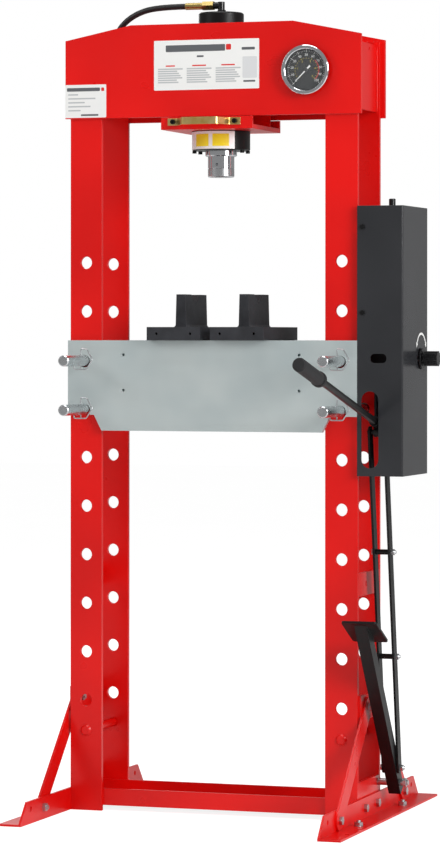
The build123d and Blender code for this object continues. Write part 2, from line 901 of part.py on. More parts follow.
# Bent strap handle on the carriage's front apron
def make_handle():
    (left, z), (right, _) = handle_screw_places()
    y = -carriage_outer_y - handle_thickness / 2
    eye = handle_eye_length / 2
    slope = handle_bow / 2
    outline = [
        (left - eye, y),
        (left + eye, y),
        (left + eye + slope, y - handle_bow),
        (right - eye - slope, y - handle_bow),
        (right - eye, y),
        (right + eye, y),
    ]
    with BuildPart() as handle:
        with BuildSketch(level_plane(z - handle_width / 2)):
            with BuildLine():
                FilletPolyline(*outline, radius=handle_corner)
            trace(line_width=handle_thickness)
        extrude(amount=handle_width)
        with BuildSketch(front_plane(-carriage_outer_y)):
            with Locations((left, z), (right, z)):
                Circle(handle_screw_radius + hole_clearance)
        extrude(amount=2 * handle_thickness, mode=Mode.SUBTRACT)
    save(handle, "carriage_handle")


# Socket screws: two for the handle and four for the cylinder's flange
def make_socket_screws():
    with BuildPart() as screws:
        head_y = -carriage_outer_y - handle_thickness
        with BuildSketch(front_plane(head_y)):
            with Locations(*handle_screw_places()):
                Circle(handle_head_radius)
        extrude(amount=handle_head_height)
        with BuildSketch(front_plane(head_y)):
            with Locations(*handle_screw_places()):
                Circle(handle_screw_radius)
        extrude(amount=-(handle_thickness + apron_thickness))
        with BuildSketch(front_plane(head_y - handle_head_height)):
            with Locations(*handle_screw_places()):
                RegularPolygon(handle_screw_radius, 6)
        extrude(amount=-socket_depth, mode=Mode.SUBTRACT)
        with BuildSketch(level_plane(flange_bottom - flange_head_height)):
            with Locations(*flange_screw_places()):
                Circle(flange_head_radius)
        extrude(amount=flange_head_height)
        with BuildSketch(level_plane(flange_bottom)):
            with Locations(*flange_screw_places()):
                Circle(flange_screw_radius)
        extrude(amount=flange_height + carriage_web)
        with BuildSketch(level_plane(flange_bottom - flange_head_height)):
            with Locations(*flange_screw_places()):
                RegularPolygon(flange_screw_radius, 6)
        extrude(amount=socket_depth, mode=Mode.SUBTRACT)
    save(screws, "socket_screws")


# Cylinder: flange under the carriage, barrel through it, bore open below
def make_cylinder_barrel():
    with BuildPart() as barrel:
        with BuildSketch(Plane.XZ):
            with BuildLine():
                Polyline(
                    (gland_radius, flange_bottom),
                    (flange_radius - 2, flange_bottom),
                    (flange_radius, flange_bottom + 2),
                    (flange_radius, carriage_bottom),
                    (barrel_radius, carriage_bottom),
                    (barrel_radius, cap_bottom),
                    (bore_radius, cap_bottom),
                    (bore_radius, gland_top),
                    (gland_radius, gland_top),
                    close=True,
                )
            make_face()
        revolve(axis=Axis.Z)
        with BuildSketch(level_plane(flange_bottom)):
            with Locations(*[(x - carriage_rest_x, y) for x, y in flange_screw_places()]):
                Circle(flange_screw_radius + hole_clearance)
        extrude(amount=flange_height, mode=Mode.SUBTRACT)
    barrel.part.position = (carriage_rest_x, 0, 0)
    save(barrel, "cylinder_barrel")


def make_cylinder_cap():
    with BuildPart() as cap:
        with BuildSketch(level_plane(cap_bottom)):
            with Locations((carriage_rest_x, 0)):
                Circle(cap_radius)
        extrude(amount=cap_height)
        chamfer(cap.edges().group_by(Axis.Z)[-1], 3)
        with BuildSketch(level_plane(cap_bottom)):
            with Locations((carriage_rest_x, 0)):
                Circle(elbow_radius * 0.6)
        extrude(amount=cap_height, mode=Mode.SUBTRACT)
    save(cap, "cylinder_cap")


def make_gland():
    with BuildPart() as gland:
        with BuildSketch(level_plane(gland_bottom)):
            with Locations((carriage_rest_x, 0)):
                Circle(gland_radius - running_gap)
                Circle(ram_radius + running_gap, mode=Mode.SUBTRACT)
        extrude(amount=gland_height + gland_depth)
        chamfer(gland.edges().group_by(Axis.Z)[0].sort_by(SortBy.LENGTH)[-1:], 2)
    save(gland, "gland_ring")


# Ram: piston and rod in one, with a socket and a cross hole for the pad
def make_ram():
    with BuildPart() as ram:
        with BuildSketch(Plane.XZ):
            with BuildLine():
                Polyline(
                    (0, ram_nose + pad_spigot_height + 1),
                    (pad_spigot_radius + running_gap, ram_nose + pad_spigot_height + 1),
                    (pad_spigot_radius + running_gap, ram_nose),
                    (ram_radius - 1, ram_nose),
                    (ram_radius, ram_nose + 1),
                    (ram_radius, piston_bottom),
                    (bore_radius - piston_gap, piston_bottom),
                    (bore_radius - piston_gap, piston_top),
                    (0, piston_top),
                    close=True,
                )
            make_face()
        revolve(axis=Axis.Z)
        with BuildSketch(front_plane(0)):
            with Locations((0, ram_nose + set_screw_above_nose)):
                Circle(set_screw_radius)
        extrude(amount=ram_radius + 1, mode=Mode.SUBTRACT)
    ram.part.position = (carriage_rest_x, 0, 0)
    save(ram, "ram")


def make_return_spring():
    bottom = gland_top + spring_wire / 2 + contact_gap
    height = piston_bottom - spring_wire / 2 - contact_gap - bottom
    radius = (ram_radius + bore_radius) / 2
    with BuildPart() as spring:
        with BuildLine() as coil:
            Helix(pitch=height / spring_turns, height=height, radius=radius, center=(0, 0, bottom))
        start = coil.wire() @ 0
        direction = coil.wire() % 0
        with BuildSketch(Plane(origin=start, z_dir=direction)):
            RegularPolygon(spring_wire / 2, 6)
        sweep(path=coil.wire(), is_frenet=True)
    spring.part.position = (carriage_rest_x, 0, 0)
    save(spring, "ram_return_spring")


def make_ram_pad():
    with BuildPart() as pad:
        with BuildSketch(Plane.XZ):
            with BuildLine():
                Polyline(
                    (0, ram_nose - nose_height),
                    (ram_radius - 2, ram_nose - nose_height),
                    (ram_radius, ram_nose - nose_height + 2),
                    (ram_radius, ram_nose),
                    (pad_spigot_radius, ram_nose),
                    (pad_spigot_radius, ram_nose + pad_spigot_height),
                    (0, ram_nose + pad_spigot_height),
                    close=True,
                )
            make_face()
        revolve(axis=Axis.Z)
    pad.part.position = (carriage_rest_x, 0, 0)
    save(pad, "ram_pad")


# Elbow on the cap, with its arm to the left
def make_elbow():
    base = cap_bottom + cap_height
    with BuildPart() as elbow:
        with BuildSketch(level_plane(base)):
            with Locations((carriage_rest_x, 0)):
                RegularPolygon(elbow_radius + 1.5, 6, major_radius=False)
        extrude(amount=fitting_height * 0.4)
        with BuildSketch(level_plane(base)):
            with Locations((carriage_rest_x, 0)):
                Circle(elbow_radius)
        extrude(amount=fitting_height + elbow_radius)
        with BuildSketch(side_plane(carriage_rest_x)):
            with Locations((0, fitting_z)):
                Circle(elbow_radius)
        extrude(amount=-elbow_reach)
    save(elbow, "elbow_fitting")


def make_hose_nut():
    with BuildPart() as nut:
        with BuildSketch(side_plane(carriage_rest_x - elbow_reach)):
            with Locations((0, fitting_z)):
                RegularPolygon(hose_nut_flats / 2, 6, major_radius=False)
        extrude(amount=-hose_nut_length)
    save(nut, "hose_nut")


def make_crimp_sleeve():
    with BuildPart() as sleeve:
        with BuildSketch(side_plane(carriage_rest_x - elbow_reach - hose_nut_length)):
            with Locations((0, fitting_z)):
                Circle(sleeve_radius)
        extrude(amount=-sleeve_length)
        rings = sleeve.edges().filter_by(GeomType.CIRCLE).sort_by(Axis.X)[:1]
        chamfer(rings, 1)
    save(sleeve, "crimp_sleeve")


# Hose nut, crimp sleeve and pipe nut on top of the pump block
def make_pump_fittings():
    with BuildPart() as fittings:
        with BuildSketch(level_plane(pump_block_top)):
            with Locations((hose_port_x, valve_y)):
                RegularPolygon(hose_nut_flats / 2, 6, major_radius=False)
        extrude(amount=hose_nut_length)
        with BuildSketch(level_plane(pump_block_top + hose_nut_length)):
            with Locations((hose_port_x, valve_y)):
                Circle(sleeve_radius)
        extrude(amount=sleeve_length)
        with BuildSketch(level_plane(pump_block_top)):
            with Locations((pipe_port_x, valve_y)):
                RegularPolygon(pipe_nut_flats / 2, 6, major_radius=False)
        extrude(amount=pipe_nut_length)
    save(fittings, "pump_fittings")


# Arc radius for each inner corner of a route: as large as its two runs allow
def corner_radii(route):
    points = [Vector(*p) for p in route]
    radii = []
    for before, here, after in zip(points, points[1:], points[2:]):
        first = here - before
        second = after - here
        turn = radians(first.get_angle(second))
        shorter = min(first.length, second.length)
        radii.append(0.45 * shorter / tan(turn / 2))
    return radii


def make_tube(route, radius, name):
    radii = corner_radii(route)
    with BuildPart() as tube:
        with BuildLine() as path:
            FilletPolyline(*route, radius=radii)
        start = path.wire() @ 0
        direction = path.wire() % 0
        with BuildSketch(Plane(origin=start, z_dir=direction)):
            RegularPolygon(radius, 10)
        sweep(path=path.wire())
    print(name, "length", round(path.wire().length, 1), "tightest arc", round(min(radii), 1))
    save(tube, name)


# Hose from the cylinder cap, down into the beam, behind the cylinder and down to the pump
hose_start = carriage_rest_x - elbow_reach - hose_nut_length - sleeve_length
hose_end_z = pump_block_top + hose_nut_length + sleeve_length
hose_route = [
    (hose_start, 0, fitting_z),
    (hose_start - hose_lead_out, 0, fitting_z),
    (-205, 4, 1822),
    (-252, 10, 1796),
    (-281, 20, 1752),
    (-286, 34, 1704),
    (-261, 52, 1668),
    (-213, 65, 1655),
    (-155, 73, 1655),
    (-96, 76, 1659),
    (-36, 77, 1661),
    (24, 76, 1660),
    (84, 74, 1658),
    (144, 68, 1658),
    (199, 56, 1660),
    (246, 35, 1654),
    (279, 9, 1631),
    (296, -12, 1588),
    (302, -24, 1534),
    (301, -28, 1477),
    (299, -26, 1418),
    (302, -13, 1364),
    (309, 7, 1314),
    (320, 25, 1266),
    (336, 37, 1222),
    (357, 41, 1186),
    (hose_port_x, valve_y, hose_end_z + hose_lead_in),
    (hose_port_x, valve_y, hose_end_z),
]

# Pipe from the gauge's stem, down the upright to the pump block
stem_end_y = -beam_front_y + stem_length
pipe_route = [
    (gauge_x, stem_end_y, gauge_height),
    (gauge_x, stem_end_y + 20, gauge_height),
    (241, -31, 1655),
    (265, -34, 1628),
    (287, -46, 1594),
    (299, -59, 1550),
    (303, -66, 1500),
    (303, -67, 1446),
    (304, -64, 1391),
    (306, -56, 1337),
    (312, -42, 1284),
    (322, -22, 1234),
    (334, 2, 1187),
    (345, 24, 1143),
    (pipe_port_x, valve_y, pump_block_top + pipe_nut_length + pipe_lead_in),
    (pipe_port_x, valve_y, pump_block_top + pipe_nut_length),
]


# Pressure gauge on the beam's front plate: case, with its stem, back nut and pointer bearing
def make_gauge_case():
    front = -beam_front_y
    behind = front + beam_plate_thickness
    with BuildPart() as case:
        with BuildSketch(front_plane(front)):
            with Locations((gauge_x, gauge_height)):
                Circle(gauge_case_radius)
        extrude(amount=gauge_case_depth)
        with BuildSketch(front_plane(front - gauge_wall)):
            with Locations((gauge_x, gauge_height)):
                Circle(gauge_case_radius - gauge_wall)
        extrude(amount=gauge_case_depth, mode=Mode.SUBTRACT)
        with BuildSketch(front_plane(front - gauge_wall)):
            with Locations((gauge_x, gauge_height)):
                Circle(movement_radius)
                Circle(pointer_shaft_radius + running_gap, mode=Mode.SUBTRACT)
        extrude(amount=movement_depth)
        with BuildSketch(front_plane(front)):
            with Locations((gauge_x, gauge_height)):
                Circle(stem_radius)
        extrude(amount=-stem_length)
        with BuildSketch(front_plane(behind)):
            with Locations((gauge_x, gauge_height)):
                RegularPolygon(stem_hole_radius + stem_nut_lap, 6, major_radius=False)
        extrude(amount=-stem_nut_height)
    save(case, "gauge_case")


def make_gauge_bezel():
    rim_y = -beam_front_y - gauge_case_depth
    with BuildPart() as bezel:
        with BuildSketch(front_plane(rim_y + bezel_lap)):
            with Locations((gauge_x, gauge_height)):
                Circle(bezel_radius)
                Circle(gauge_case_radius + contact_gap, mode=Mode.SUBTRACT)
        extrude(amount=bezel_lap)
        with BuildSketch(front_plane(rim_y)):
            with Locations((gauge_x, gauge_height)):
                Circle(bezel_radius)
                Circle(bezel_opening, mode=Mode.SUBTRACT)
        extrude(amount=bezel_front)
        chamfer(bezel.edges().filter_by(GeomType.CIRCLE).group_by(Axis.Y)[0], 1.5)
    save(bezel, "gauge_bezel")


def make_gauge_dial():
    with BuildPart() as dial:
        with BuildSketch(front_plane(-beam_front_y - gauge_wall - movement_depth)):
            with Locations((gauge_x, gauge_height)):
                Circle(gauge_case_radius - gauge_wall - contact_gap)
                Circle(pointer_shaft_radius + 1, mode=Mode.SUBTRACT)
        extrude(amount=dial_thickness)
    save(dial, "gauge_dial")


def make_gauge_glass():
    with BuildPart() as glass:
        with BuildSketch(front_plane(-beam_front_y - gauge_case_depth + glass_thickness)):
            with Locations((gauge_x, gauge_height)):
                Circle(gauge_case_radius - gauge_wall - contact_gap)
        extrude(amount=glass_thickness)
    save(glass, "gauge_glass")


def make_gauge_pointer():
    shaft_start = -beam_front_y - gauge_wall - running_gap
    blade_back = -beam_front_y - gauge_wall - movement_depth - dial_thickness - pointer_gap
    tip = Vector(pointer_length, 0).rotate(Axis.Z, pointer_rest_angle)
    tail = Vector(-pointer_tail, 0).rotate(Axis.Z, pointer_rest_angle)
    side = Vector(0, pointer_width / 2).rotate(Axis.Z, pointer_rest_angle)
    hub = Vector(gauge_x, gauge_height)
    with BuildPart() as pointer:
        with BuildSketch(front_plane(blade_back)):
            with Locations((gauge_x, gauge_height)):
                Circle(pointer_width)
            with BuildLine():
                Polyline(hub + tail + side, hub + tail - side, hub + tip - side * 0.15,
                         hub + tip + side * 0.15, close=True)
            make_face()
        extrude(amount=pointer_thickness)
        with BuildSketch(front_plane(shaft_start)):
            with Locations((gauge_x, gauge_height)):
                Circle(pointer_shaft_radius)
        extrude(amount=shaft_start - blade_back + pointer_thickness)
    save(pointer, "gauge_pointer")


# Pump box: folded sheet cover, open towards the upright and below
def make_pump_box():
    with BuildPart() as box:
        with BuildSketch(level_plane(box_bottom)):
            with Locations(((box_left + box_right) / 2, 0)):
                Rectangle(box_width, box_depth)
        extrude(amount=box_height)
        outer = box.edges().filter_by(Axis.Z).sort_by(Axis.X)[-2:]
        fillet(outer, 2 * box_sheet)
        with BuildSketch(level_plane(box_bottom)):
            with Locations(((box_left + box_right) / 2 - box_sheet, 0)):
                Rectangle(box_width, box_depth - 2 * box_sheet)
        extrude(amount=box_height - box_sheet, mode=Mode.SUBTRACT)
        with BuildSketch(front_plane(-box_half_depth)):
            with Locations((bar_outer_x + lever_slot_across, pivot_height - lever_slot_drop)):
                SlotOverall(lever_slot_height, lever_slot_width, rotation=90)
            with Locations((bar_outer_x + small_slot_across, pivot_height + small_slot_rise)):
                SlotOverall(small_slot_width, small_slot_height)
        extrude(amount=-box_sheet, mode=Mode.SUBTRACT)
        with BuildSketch(side_plane(box_right)):
            with Locations((valve_y, valve_height)):
                Circle(knob_hole_radius)
        extrude(amount=-box_sheet, mode=Mode.SUBTRACT)
        with BuildSketch(level_plane(box_top)):
            with Locations((filler_x, filler_y)):
                Circle(filler_neck_radius + 1)
        extrude(amount=-box_sheet, mode=Mode.SUBTRACT)
        for face in (-1, 1):
            with BuildSketch(front_plane(face * box_half_depth)):
                with Locations(*screw_places[face]):
                    Circle(box_screw_radius + hole_clearance)
            extrude(amount=face * box_sheet, mode=Mode.SUBTRACT)
    save(box, "pump_box")


# Angle lugs on the bars' outer edges that carry the box
def make_box_lugs():
    outer = box_half_depth - box_sheet
    with BuildPart() as lugs:
        for face in (-1, 1):
            for screw_x, z in screw_places[face]:
                with BuildSketch(level_plane(z - lug_height / 2)):
                    with BuildLine():
                        Polyline(
                            (bar_outer_x, face * (bar_inner_y + 1)),
                            (bar_outer_x, face * outer),
                            (bar_outer_x + lug_reach, face * outer),
                            (bar_outer_x + lug_reach, face * (outer - lug_thickness)),
                            (bar_outer_x + lug_thickness, face * (outer - lug_thickness)),
                            (bar_outer_x + lug_thickness, face * (bar_inner_y + 1)),
                            close=True,
                        )
                    make_face()
                extrude(amount=lug_height)
                with BuildSketch(front_plane(face * outer)):
                    with Locations((screw_x, z)):
                        Circle(box_screw_radius + hole_clearance)
                extrude(amount=face * lug_thickness, mode=Mode.SUBTRACT)
    save(lugs, "box_lugs")


def make_box_screws():
    with BuildPart() as screws:
        for face in (-1, 1):
            with BuildSketch(front_plane(face * box_half_depth)):
                with Locations(*screw_places[face]):
                    Circle(box_screw_head_radius)
            extrude(amount=-face * box_screw_head_height)
            with BuildSketch(front_plane(face * box_half_depth)):
                with Locations(*screw_places[face]):
                    Circle(box_screw_radius)
            extrude(amount=face * (box_sheet + lug_thickness + 2))
    save(screws, "box_screws")


# Pump block, bored for the plunger and the release valve, with the rocker's cheeks under it
def make_pump_block():
    with BuildPart() as block:
        with BuildSketch(level_plane(pump_block_bottom)):
            with Locations((bar_outer_x + block_box_width / 2, (block_front_y + block_back_y) / 2)):
                Rectangle(block_box_width, block_back_y - block_front_y)
        extrude(amount=pump_block_height)
        chamfer(block.edges().filter_by(Axis.Z).sort_by(Axis.X)[-2:], 4)
        y, z = rocker_pivot
        r = rocker_hub_radius
        for side in (-1, 1):
            with BuildSketch(side_plane(pump_plane + side * (rocker_thickness / 2 + cheek_gap))):
                with BuildLine():
                    Line((y + r, z), (y + r, pump_block_bottom))
                    Line((y + r, pump_block_bottom), (y - r, pump_block_bottom))
                    Line((y - r, pump_block_bottom), (y - r, z))
                    ThreePointArc((y - r, z), (y, z - r), (y + r, z))
                make_face()
                with Locations(rocker_pivot):
                    Circle(rocker_pin_radius + running_gap, mode=Mode.SUBTRACT)
            extrude(amount=side * cheek_thickness)
        with BuildSketch(level_plane(pump_block_bottom)):
            with Locations((pump_plane, plunger_y)):
                Circle(plunger_radius + running_gap)
        extrude(amount=plunger_bore_depth, mode=Mode.SUBTRACT)
        with BuildSketch(side_plane(pump_block_right)):
            with Locations((valve_y, valve_height)):
                Circle(valve_stem_radius + running_gap)
        extrude(amount=-valve_stem_depth - 1, mode=Mode.SUBTRACT)
    save(block, "pump_block")


def make_oil_tank():
    with BuildPart() as tank:
        with BuildSketch(level_plane(pump_block_top)):
            with Locations((bar_outer_x + 5 + tank_width / 2, (tank_front_y + tank_back_y) / 2)):
                Rectangle(tank_width, tank_back_y - tank_front_y)
        extrude(amount=tank_height)
        fillet(tank.edges().filter_by(Axis.Z), tank_corner)
        with BuildSketch(level_plane(pump_block_top + tank_height)):
            with Locations((filler_x, filler_y)):
                Circle(filler_neck_radius)
        extrude(amount=box_top + 1 - pump_block_top - tank_height)
    save(tank, "oil_tank")


def make_filler_plug():
    with BuildPart() as plug:
        with BuildSketch(level_plane(box_top + 1)):
            with Locations((filler_x, filler_y)):
                Circle(filler_plug_radius)
        extrude(amount=filler_plug_height)
        chamfer(plug.edges().group_by(Axis.Z)[-1], 1.5)
    save(plug, "filler_plug")


def make_rocker_pin():
    half = rocker_thickness / 2 + cheek_gap + cheek_thickness + 1
    with BuildPart() as pin:
        with BuildSketch(side_plane(pump_plane - half)):
            with Locations(rocker_pivot):
                Circle(rocker_pin_radius)
        extrude(amount=2 * half)
    save(pin, "rocker_pin")


# Rocker: hub, crank eye, fork for the plunger, and the socket of the hand lever
def make_rocker():
    half = rocker_thickness / 2
    y, z = rocker_pivot
    with BuildPart() as rocker:
        with BuildSketch(side_plane(pump_plane - half)) as outline:
            with Locations(rocker_pivot):
                Circle(rocker_hub_radius)
            with Locations(crank_pin):
                Circle(crank_eye_radius)
            make_hull()
            with Locations((y + fork_reach / 2, z)):
                Rectangle(fork_reach, 2 * fork_half_height)
        extrude(amount=rocker_thickness)
        reach = socket_end - 4
        end = turned((y - reach, z), rocker_pivot, -lever_angle)
        with BuildSketch(side_plane(pump_plane - half)):
            with Locations(Location(((y + end[0]) / 2, (z + end[1]) / 2), -lever_angle)):
                Rectangle(reach, 2 * fork_half_height + 4)
        extrude(amount=rocker_thickness)
        axis = Vector(0, -cos(radians(lever_angle)), sin(radians(lever_angle)))
        foot = Vector(pump_plane, y, z) + axis * socket_start
        with BuildSketch(Plane(origin=foot, x_dir=(1, 0, 0), z_dir=axis)):
            Circle(socket_radius)
        extrude(amount=socket_end - socket_start)
        with BuildSketch(Plane(origin=foot, x_dir=(1, 0, 0), z_dir=axis)):
            Circle(lever_radius + running_gap)
        extrude(amount=socket_end - socket_start + 1, mode=Mode.SUBTRACT)
        with BuildSketch(side_plane(pump_plane - half)):
            with Locations(rocker_pivot):
                Circle(rocker_pin_radius + running_gap)
            slot_start = plunger_y - plunger_pin_radius - plunger_slot_gap
            with Locations((slot_start + plunger_slot_length / 2, z)):
                SlotOverall(plunger_slot_length, 2 * (plunger_pin_radius + plunger_slot_gap))
        extrude(amount=rocker_thickness, mode=Mode.SUBTRACT)
        with BuildSketch(side_plane(pump_plane - fork_gap / 2)):
            with Locations((y + rocker_hub_radius + fork_reach / 2, z)):
                Rectangle(fork_reach, 4 * fork_half_height)
        extrude(amount=fork_gap, mode=Mode.SUBTRACT)
        pin_half = link_outer + 3
        with BuildSketch(side_plane(pump_plane - pin_half)):
            with Locations(crank_pin):
                Circle(crank_pin_radius)
        extrude(amount=2 * pin_half)
    save(rocker, "pump_rocker")


def make_plunger():
    y, z = plunger_y, rocker_pivot[1]
    half = plunger_eye_width / 2
    with BuildPart() as plunger:
        with BuildSketch(side_plane(pump_plane - half)):
            with Locations((y, z)):
                Circle(plunger_eye_radius)
            with Locations((y, z + (plunger_neck + 4) / 2)):
                Rectangle(2 * plunger_radius - 2, plunger_neck + 4)
        extrude(amount=plunger_eye_width)
        with BuildSketch(side_plane(pump_plane - rocker_thickness / 2)):
            with Locations((y, z)):
                Circle(plunger_pin_radius)
        extrude(amount=rocker_thickness)
        with BuildSketch(level_plane(z + plunger_neck)):
            with Locations((pump_plane, y)):
                Circle(plunger_radius)
        extrude(amount=plunger_length)
    save(plunger, "pump_plunger")


# Hand lever: straight rod with a ribbed rubber grip
def lever_plane(distance):
    """A plane across the lever, at a distance from the rocker's pivot."""
    axis = Vector(0, -cos(radians(lever_angle)), sin(radians(lever_angle)))
    origin = Vector(pump_plane, *rocker_pivot) + axis * distance
    return Plane(origin=origin, x_dir=(1, 0, 0), z_dir=axis)


def make_lever():
    with BuildPart() as lever:
        with BuildSketch(lever_plane(socket_start + 2)):
            Circle(lever_radius)
        extrude(amount=lever_length - 6 - socket_start - 2)
    save(lever, "hand_lever")
    with BuildPart() as grip:
        with BuildSketch(lever_plane(lever_length - grip_length)):
            Circle(grip_radius)
        extrude(amount=grip_length)
        with BuildSketch(lever_plane(lever_length - grip_length)):
            Circle(grip_collar_radius)
        extrude(amount=grip_collar_length)
        chamfer(grip.edges().sort_by(Axis.Y)[:1], 3)
        with BuildSketch(lever_plane(lever_length - grip_length)):
            Circle(lever_radius + running_gap)
        extrude(amount=grip_length - 6, mode=Mode.SUBTRACT)
    save(grip, "lever_grip")


# Foot pedal: square tube arm on its pivot rod, with a ribbed plate on top
def arm_plane(distance):
    """A plane across the pedal's arm, at a distance from its pivot."""
    axis = Vector(0, cos(radians(arm_angle)), sin(radians(arm_angle)))
    origin = Vector(pump_plane, *pedal_pivot) + axis * distance
    return Plane(origin=origin, x_dir=(1, 0, 0), z_dir=axis)


def make_foot_pedal():
    with BuildPart() as arm:
        with BuildSketch(arm_plane(-arm_tail)):
            Rectangle(arm_width, arm_depth)
            Rectangle(arm_width - 2 * arm_wall, arm_depth - 2 * arm_wall, mode=Mode.SUBTRACT)
        extrude(amount=arm_tail + arm_length)
        with BuildSketch(side_plane(pump_plane)):
            with Locations(pedal_pivot):
                Circle(pivot_rod_radius + running_gap)
            with Locations(link_pin):
                Circle(link_pin_radius + running_gap)
        extrude(amount=arm_width, both=True, mode=Mode.SUBTRACT)
        with BuildSketch(pedal_top_plane(0)):
            Rectangle(4 * pedal_width, 4 * pedal_length)
        extrude(amount=4 * pedal_length, mode=Mode.SUBTRACT)
        shift = pedal_length / 2 - pedal_ahead
        with BuildSketch(pedal_top_plane(0)):
            with Locations((0, shift)):
                RectangleRounded(pedal_width, pedal_length, pedal_corner)
        extrude(amount=pedal_plate_thickness)
        with BuildSketch(pedal_top_plane(pedal_plate_thickness)):
            with Locations((0, shift)):
                with GridLocations(0, pedal_length / pedal_rib_count, 1, pedal_rib_count):
                    Rectangle(pedal_width - 2 * pedal_corner, pedal_rib_width)
        extrude(amount=pedal_rib_height)
    save(arm, "foot_pedal")


def pedal_top_plane(height):
    """The underside of the pedal's plate, lifted by a height. Its own y runs to the back."""
    centre = turned((pedal_pivot[0] + arm_length - arm_depth, pedal_pivot[1]), pedal_pivot, arm_angle)
    back = Vector(0, cos(radians(pedal_tilt)), -sin(radians(pedal_tilt)))
    normal = Vector(0, sin(radians(pedal_tilt)), cos(radians(pedal_tilt)))
    origin = Vector(pump_plane, *centre) + normal * height
    return Plane(origin=origin, x_dir=(1, 0, 0), z_dir=normal)


def make_pivot_rod():
    end = pump_plane + arm_width / 2 + pivot_rod_overhang
    stud_tip = nut_height + bolt_tip
    with BuildPart() as rod:
        with BuildSketch(side_plane(bar_outer_x)):
            with Locations(pedal_pivot):
                Circle(pivot_rod_radius)
        extrude(amount=end - bar_outer_x)
        with BuildSketch(side_plane(batten_inner_x - stud_tip)):
            with Locations(pedal_pivot):
                Circle(pivot_stud_radius)
        extrude(amount=end - batten_inner_x + 2 * stud_tip)
    save(rod, "pivot_rod")


def link_point(height):
    """The point of the link's centre line at a height."""
    share = (height - link_pin[1]) / (crank_pin[1] - link_pin[1])
    return (link_pin[0] + share * (crank_pin[0] - link_pin[0]), height)


# Link bars, with a slotted eye round the crank pin and a round one at the pedal
def make_link_bars():
    middle = ((link_pin[0] + crank_pin[0]) / 2, (link_pin[1] + crank_pin[1]) / 2)
    eye_width = 2 * (crank_pin_radius + link_slot_side_play)
    with BuildPart() as bars:
        for side in (-1, 1):
            with BuildSketch(side_plane(pump_plane + side * link_inner)):
                with Locations(middle):
                    SlotCenterToCenter(link_length, link_width, rotation=link_angle)
                with Locations(link_pin):
                    Circle(link_pin_radius + running_gap, mode=Mode.SUBTRACT)
                for height in link_spacer_heights:
                    with Locations(link_point(height)):
                        Circle(link_bolt_radius + running_gap, mode=Mode.SUBTRACT)
                with Locations(crank_pin):
                    SlotOverall(eye_width + 2 * link_slot_play, eye_width, rotation=link_angle,
                                mode=Mode.SUBTRACT)
            extrude(amount=side * link_thickness)
    save(bars, "link_bars")


def make_link_spacers():
    with BuildPart() as spacers:
        with BuildSketch(side_plane(pump_plane - link_inner)):
            with Locations(*[link_point(height) for height in link_spacer_heights]):
                Circle(link_spacer_radius)
                Circle(link_bolt_radius + running_gap, mode=Mode.SUBTRACT)
        extrude(amount=2 * link_inner)
    save(spacers, "link_spacers")


# Link bolts: hexagon heads on the left, domed nuts on the right
def make_link_bolts():
    bolts_at = [(link_point(height), link_bolt_radius) for height in link_spacer_heights]
    bolts_at.append((link_pin, link_pin_radius))
    with BuildPart() as bolts:
        for place, radius in bolts_at:
            with BuildSketch(side_plane(pump_plane - link_outer - link_bolt_head)):
                with Locations(place):
                    RegularPolygon(link_nut_flats / 2, 6, major_radius=False)
            extrude(amount=link_bolt_head)
            with BuildSketch(side_plane(pump_plane - link_outer)):
                with Locations(place):
                    Circle(radius)
            extrude(amount=2 * link_outer)
            with BuildSketch(side_plane(pump_plane + link_outer)):
                with Locations(place):
                    RegularPolygon(link_nut_flats / 2, 6, major_radius=False)
            extrude(amount=link_nut_height)
            with BuildSketch(side_plane(pump_plane + link_outer + link_nut_height)):
                with Locations(place):
                    Circle(dome_radius)
            extrude(amount=dome_height, taper=30)
    save(bolts, "link_bolts")


# Release valve stem and its fluted knob
def make_release_knob():
    disc = box_right + knob_gap
    grip = disc + knob_disc_thickness + knob_hub_length
    with BuildPart() as knob:
        with BuildSketch(side_plane(disc)):
            with Locations((valve_y, valve_height)):
                Circle(knob_disc_radius)
        extrude(amount=knob_disc_thickness)
        with BuildSketch(side_plane(disc)):
            with Locations((valve_y, valve_height)):
                Circle(knob_hub_radius)
        extrude(amount=knob_disc_thickness + knob_hub_length)
        with BuildSketch(side_plane(grip)):
            with Locations((valve_y, valve_height)):
                Circle(knob_radius)
                with PolarLocations(knob_radius + knob_flute_radius * 0.4, knob_flutes):
                    Circle(knob_flute_radius, mode=Mode.SUBTRACT)
        extrude(amount=knob_length)
        stem_start = pump_block_right - valve_stem_depth
        with BuildSketch(side_plane(stem_start)):
            with Locations((valve_y, valve_height)):
                Circle(valve_stem_radius)
        extrude(amount=disc + knob_disc_thickness - stem_start)
    save(knob, "release_knob")


make_uprights(-1, "uprights_left")
make_uprights(1, "uprights_right")
make_beam_plate(-1, "beam_plate_front")
make_beam_plate(1, "beam_plate_rear")
make_beam_end_plates()
make_battens()
make_crossbar()
make_foot(-1, "foot_left")
make_foot(1, "foot_right")
make_braces()
make_spreader_rods()
make_frame_bolts()
make_frame_nuts()
make_anchor_bolts()
make_bed_plate(-1, "bed_plate_front")
make_bed_plate(1, "bed_plate_rear")
make_bed_cross_plates()
make_bed_pins()
make_pin_clips()
make_v_block(block_centres[0], "v_block_left")
make_v_block(block_centres[1], "v_block_right")
make_rails()
make_carriage_frame()
make_slide_pads()
make_handle()
make_socket_screws()
make_cylinder_barrel()
make_cylinder_cap()
make_gland()
make_ram()
make_return_spring()
make_ram_pad()
make_elbow()
make_hose_nut()
make_crimp_sleeve()
make_pump_fittings()
make_tube(hose_route, hose_radius, "hose")
make_tube(pipe_route, pipe_radius, "gauge_pipe")
make_gauge_case()
make_gauge_bezel()
make_gauge_dial()
make_gauge_glass()
make_gauge_pointer()
make_pump_box()
make_box_lugs()
make_box_screws()
make_pump_block()
make_oil_tank()
make_filler_plug()
make_rocker_pin()
make_rocker()
make_plunger()
make_lever()
make_foot_pedal()
make_pivot_rod()
make_link_bars()
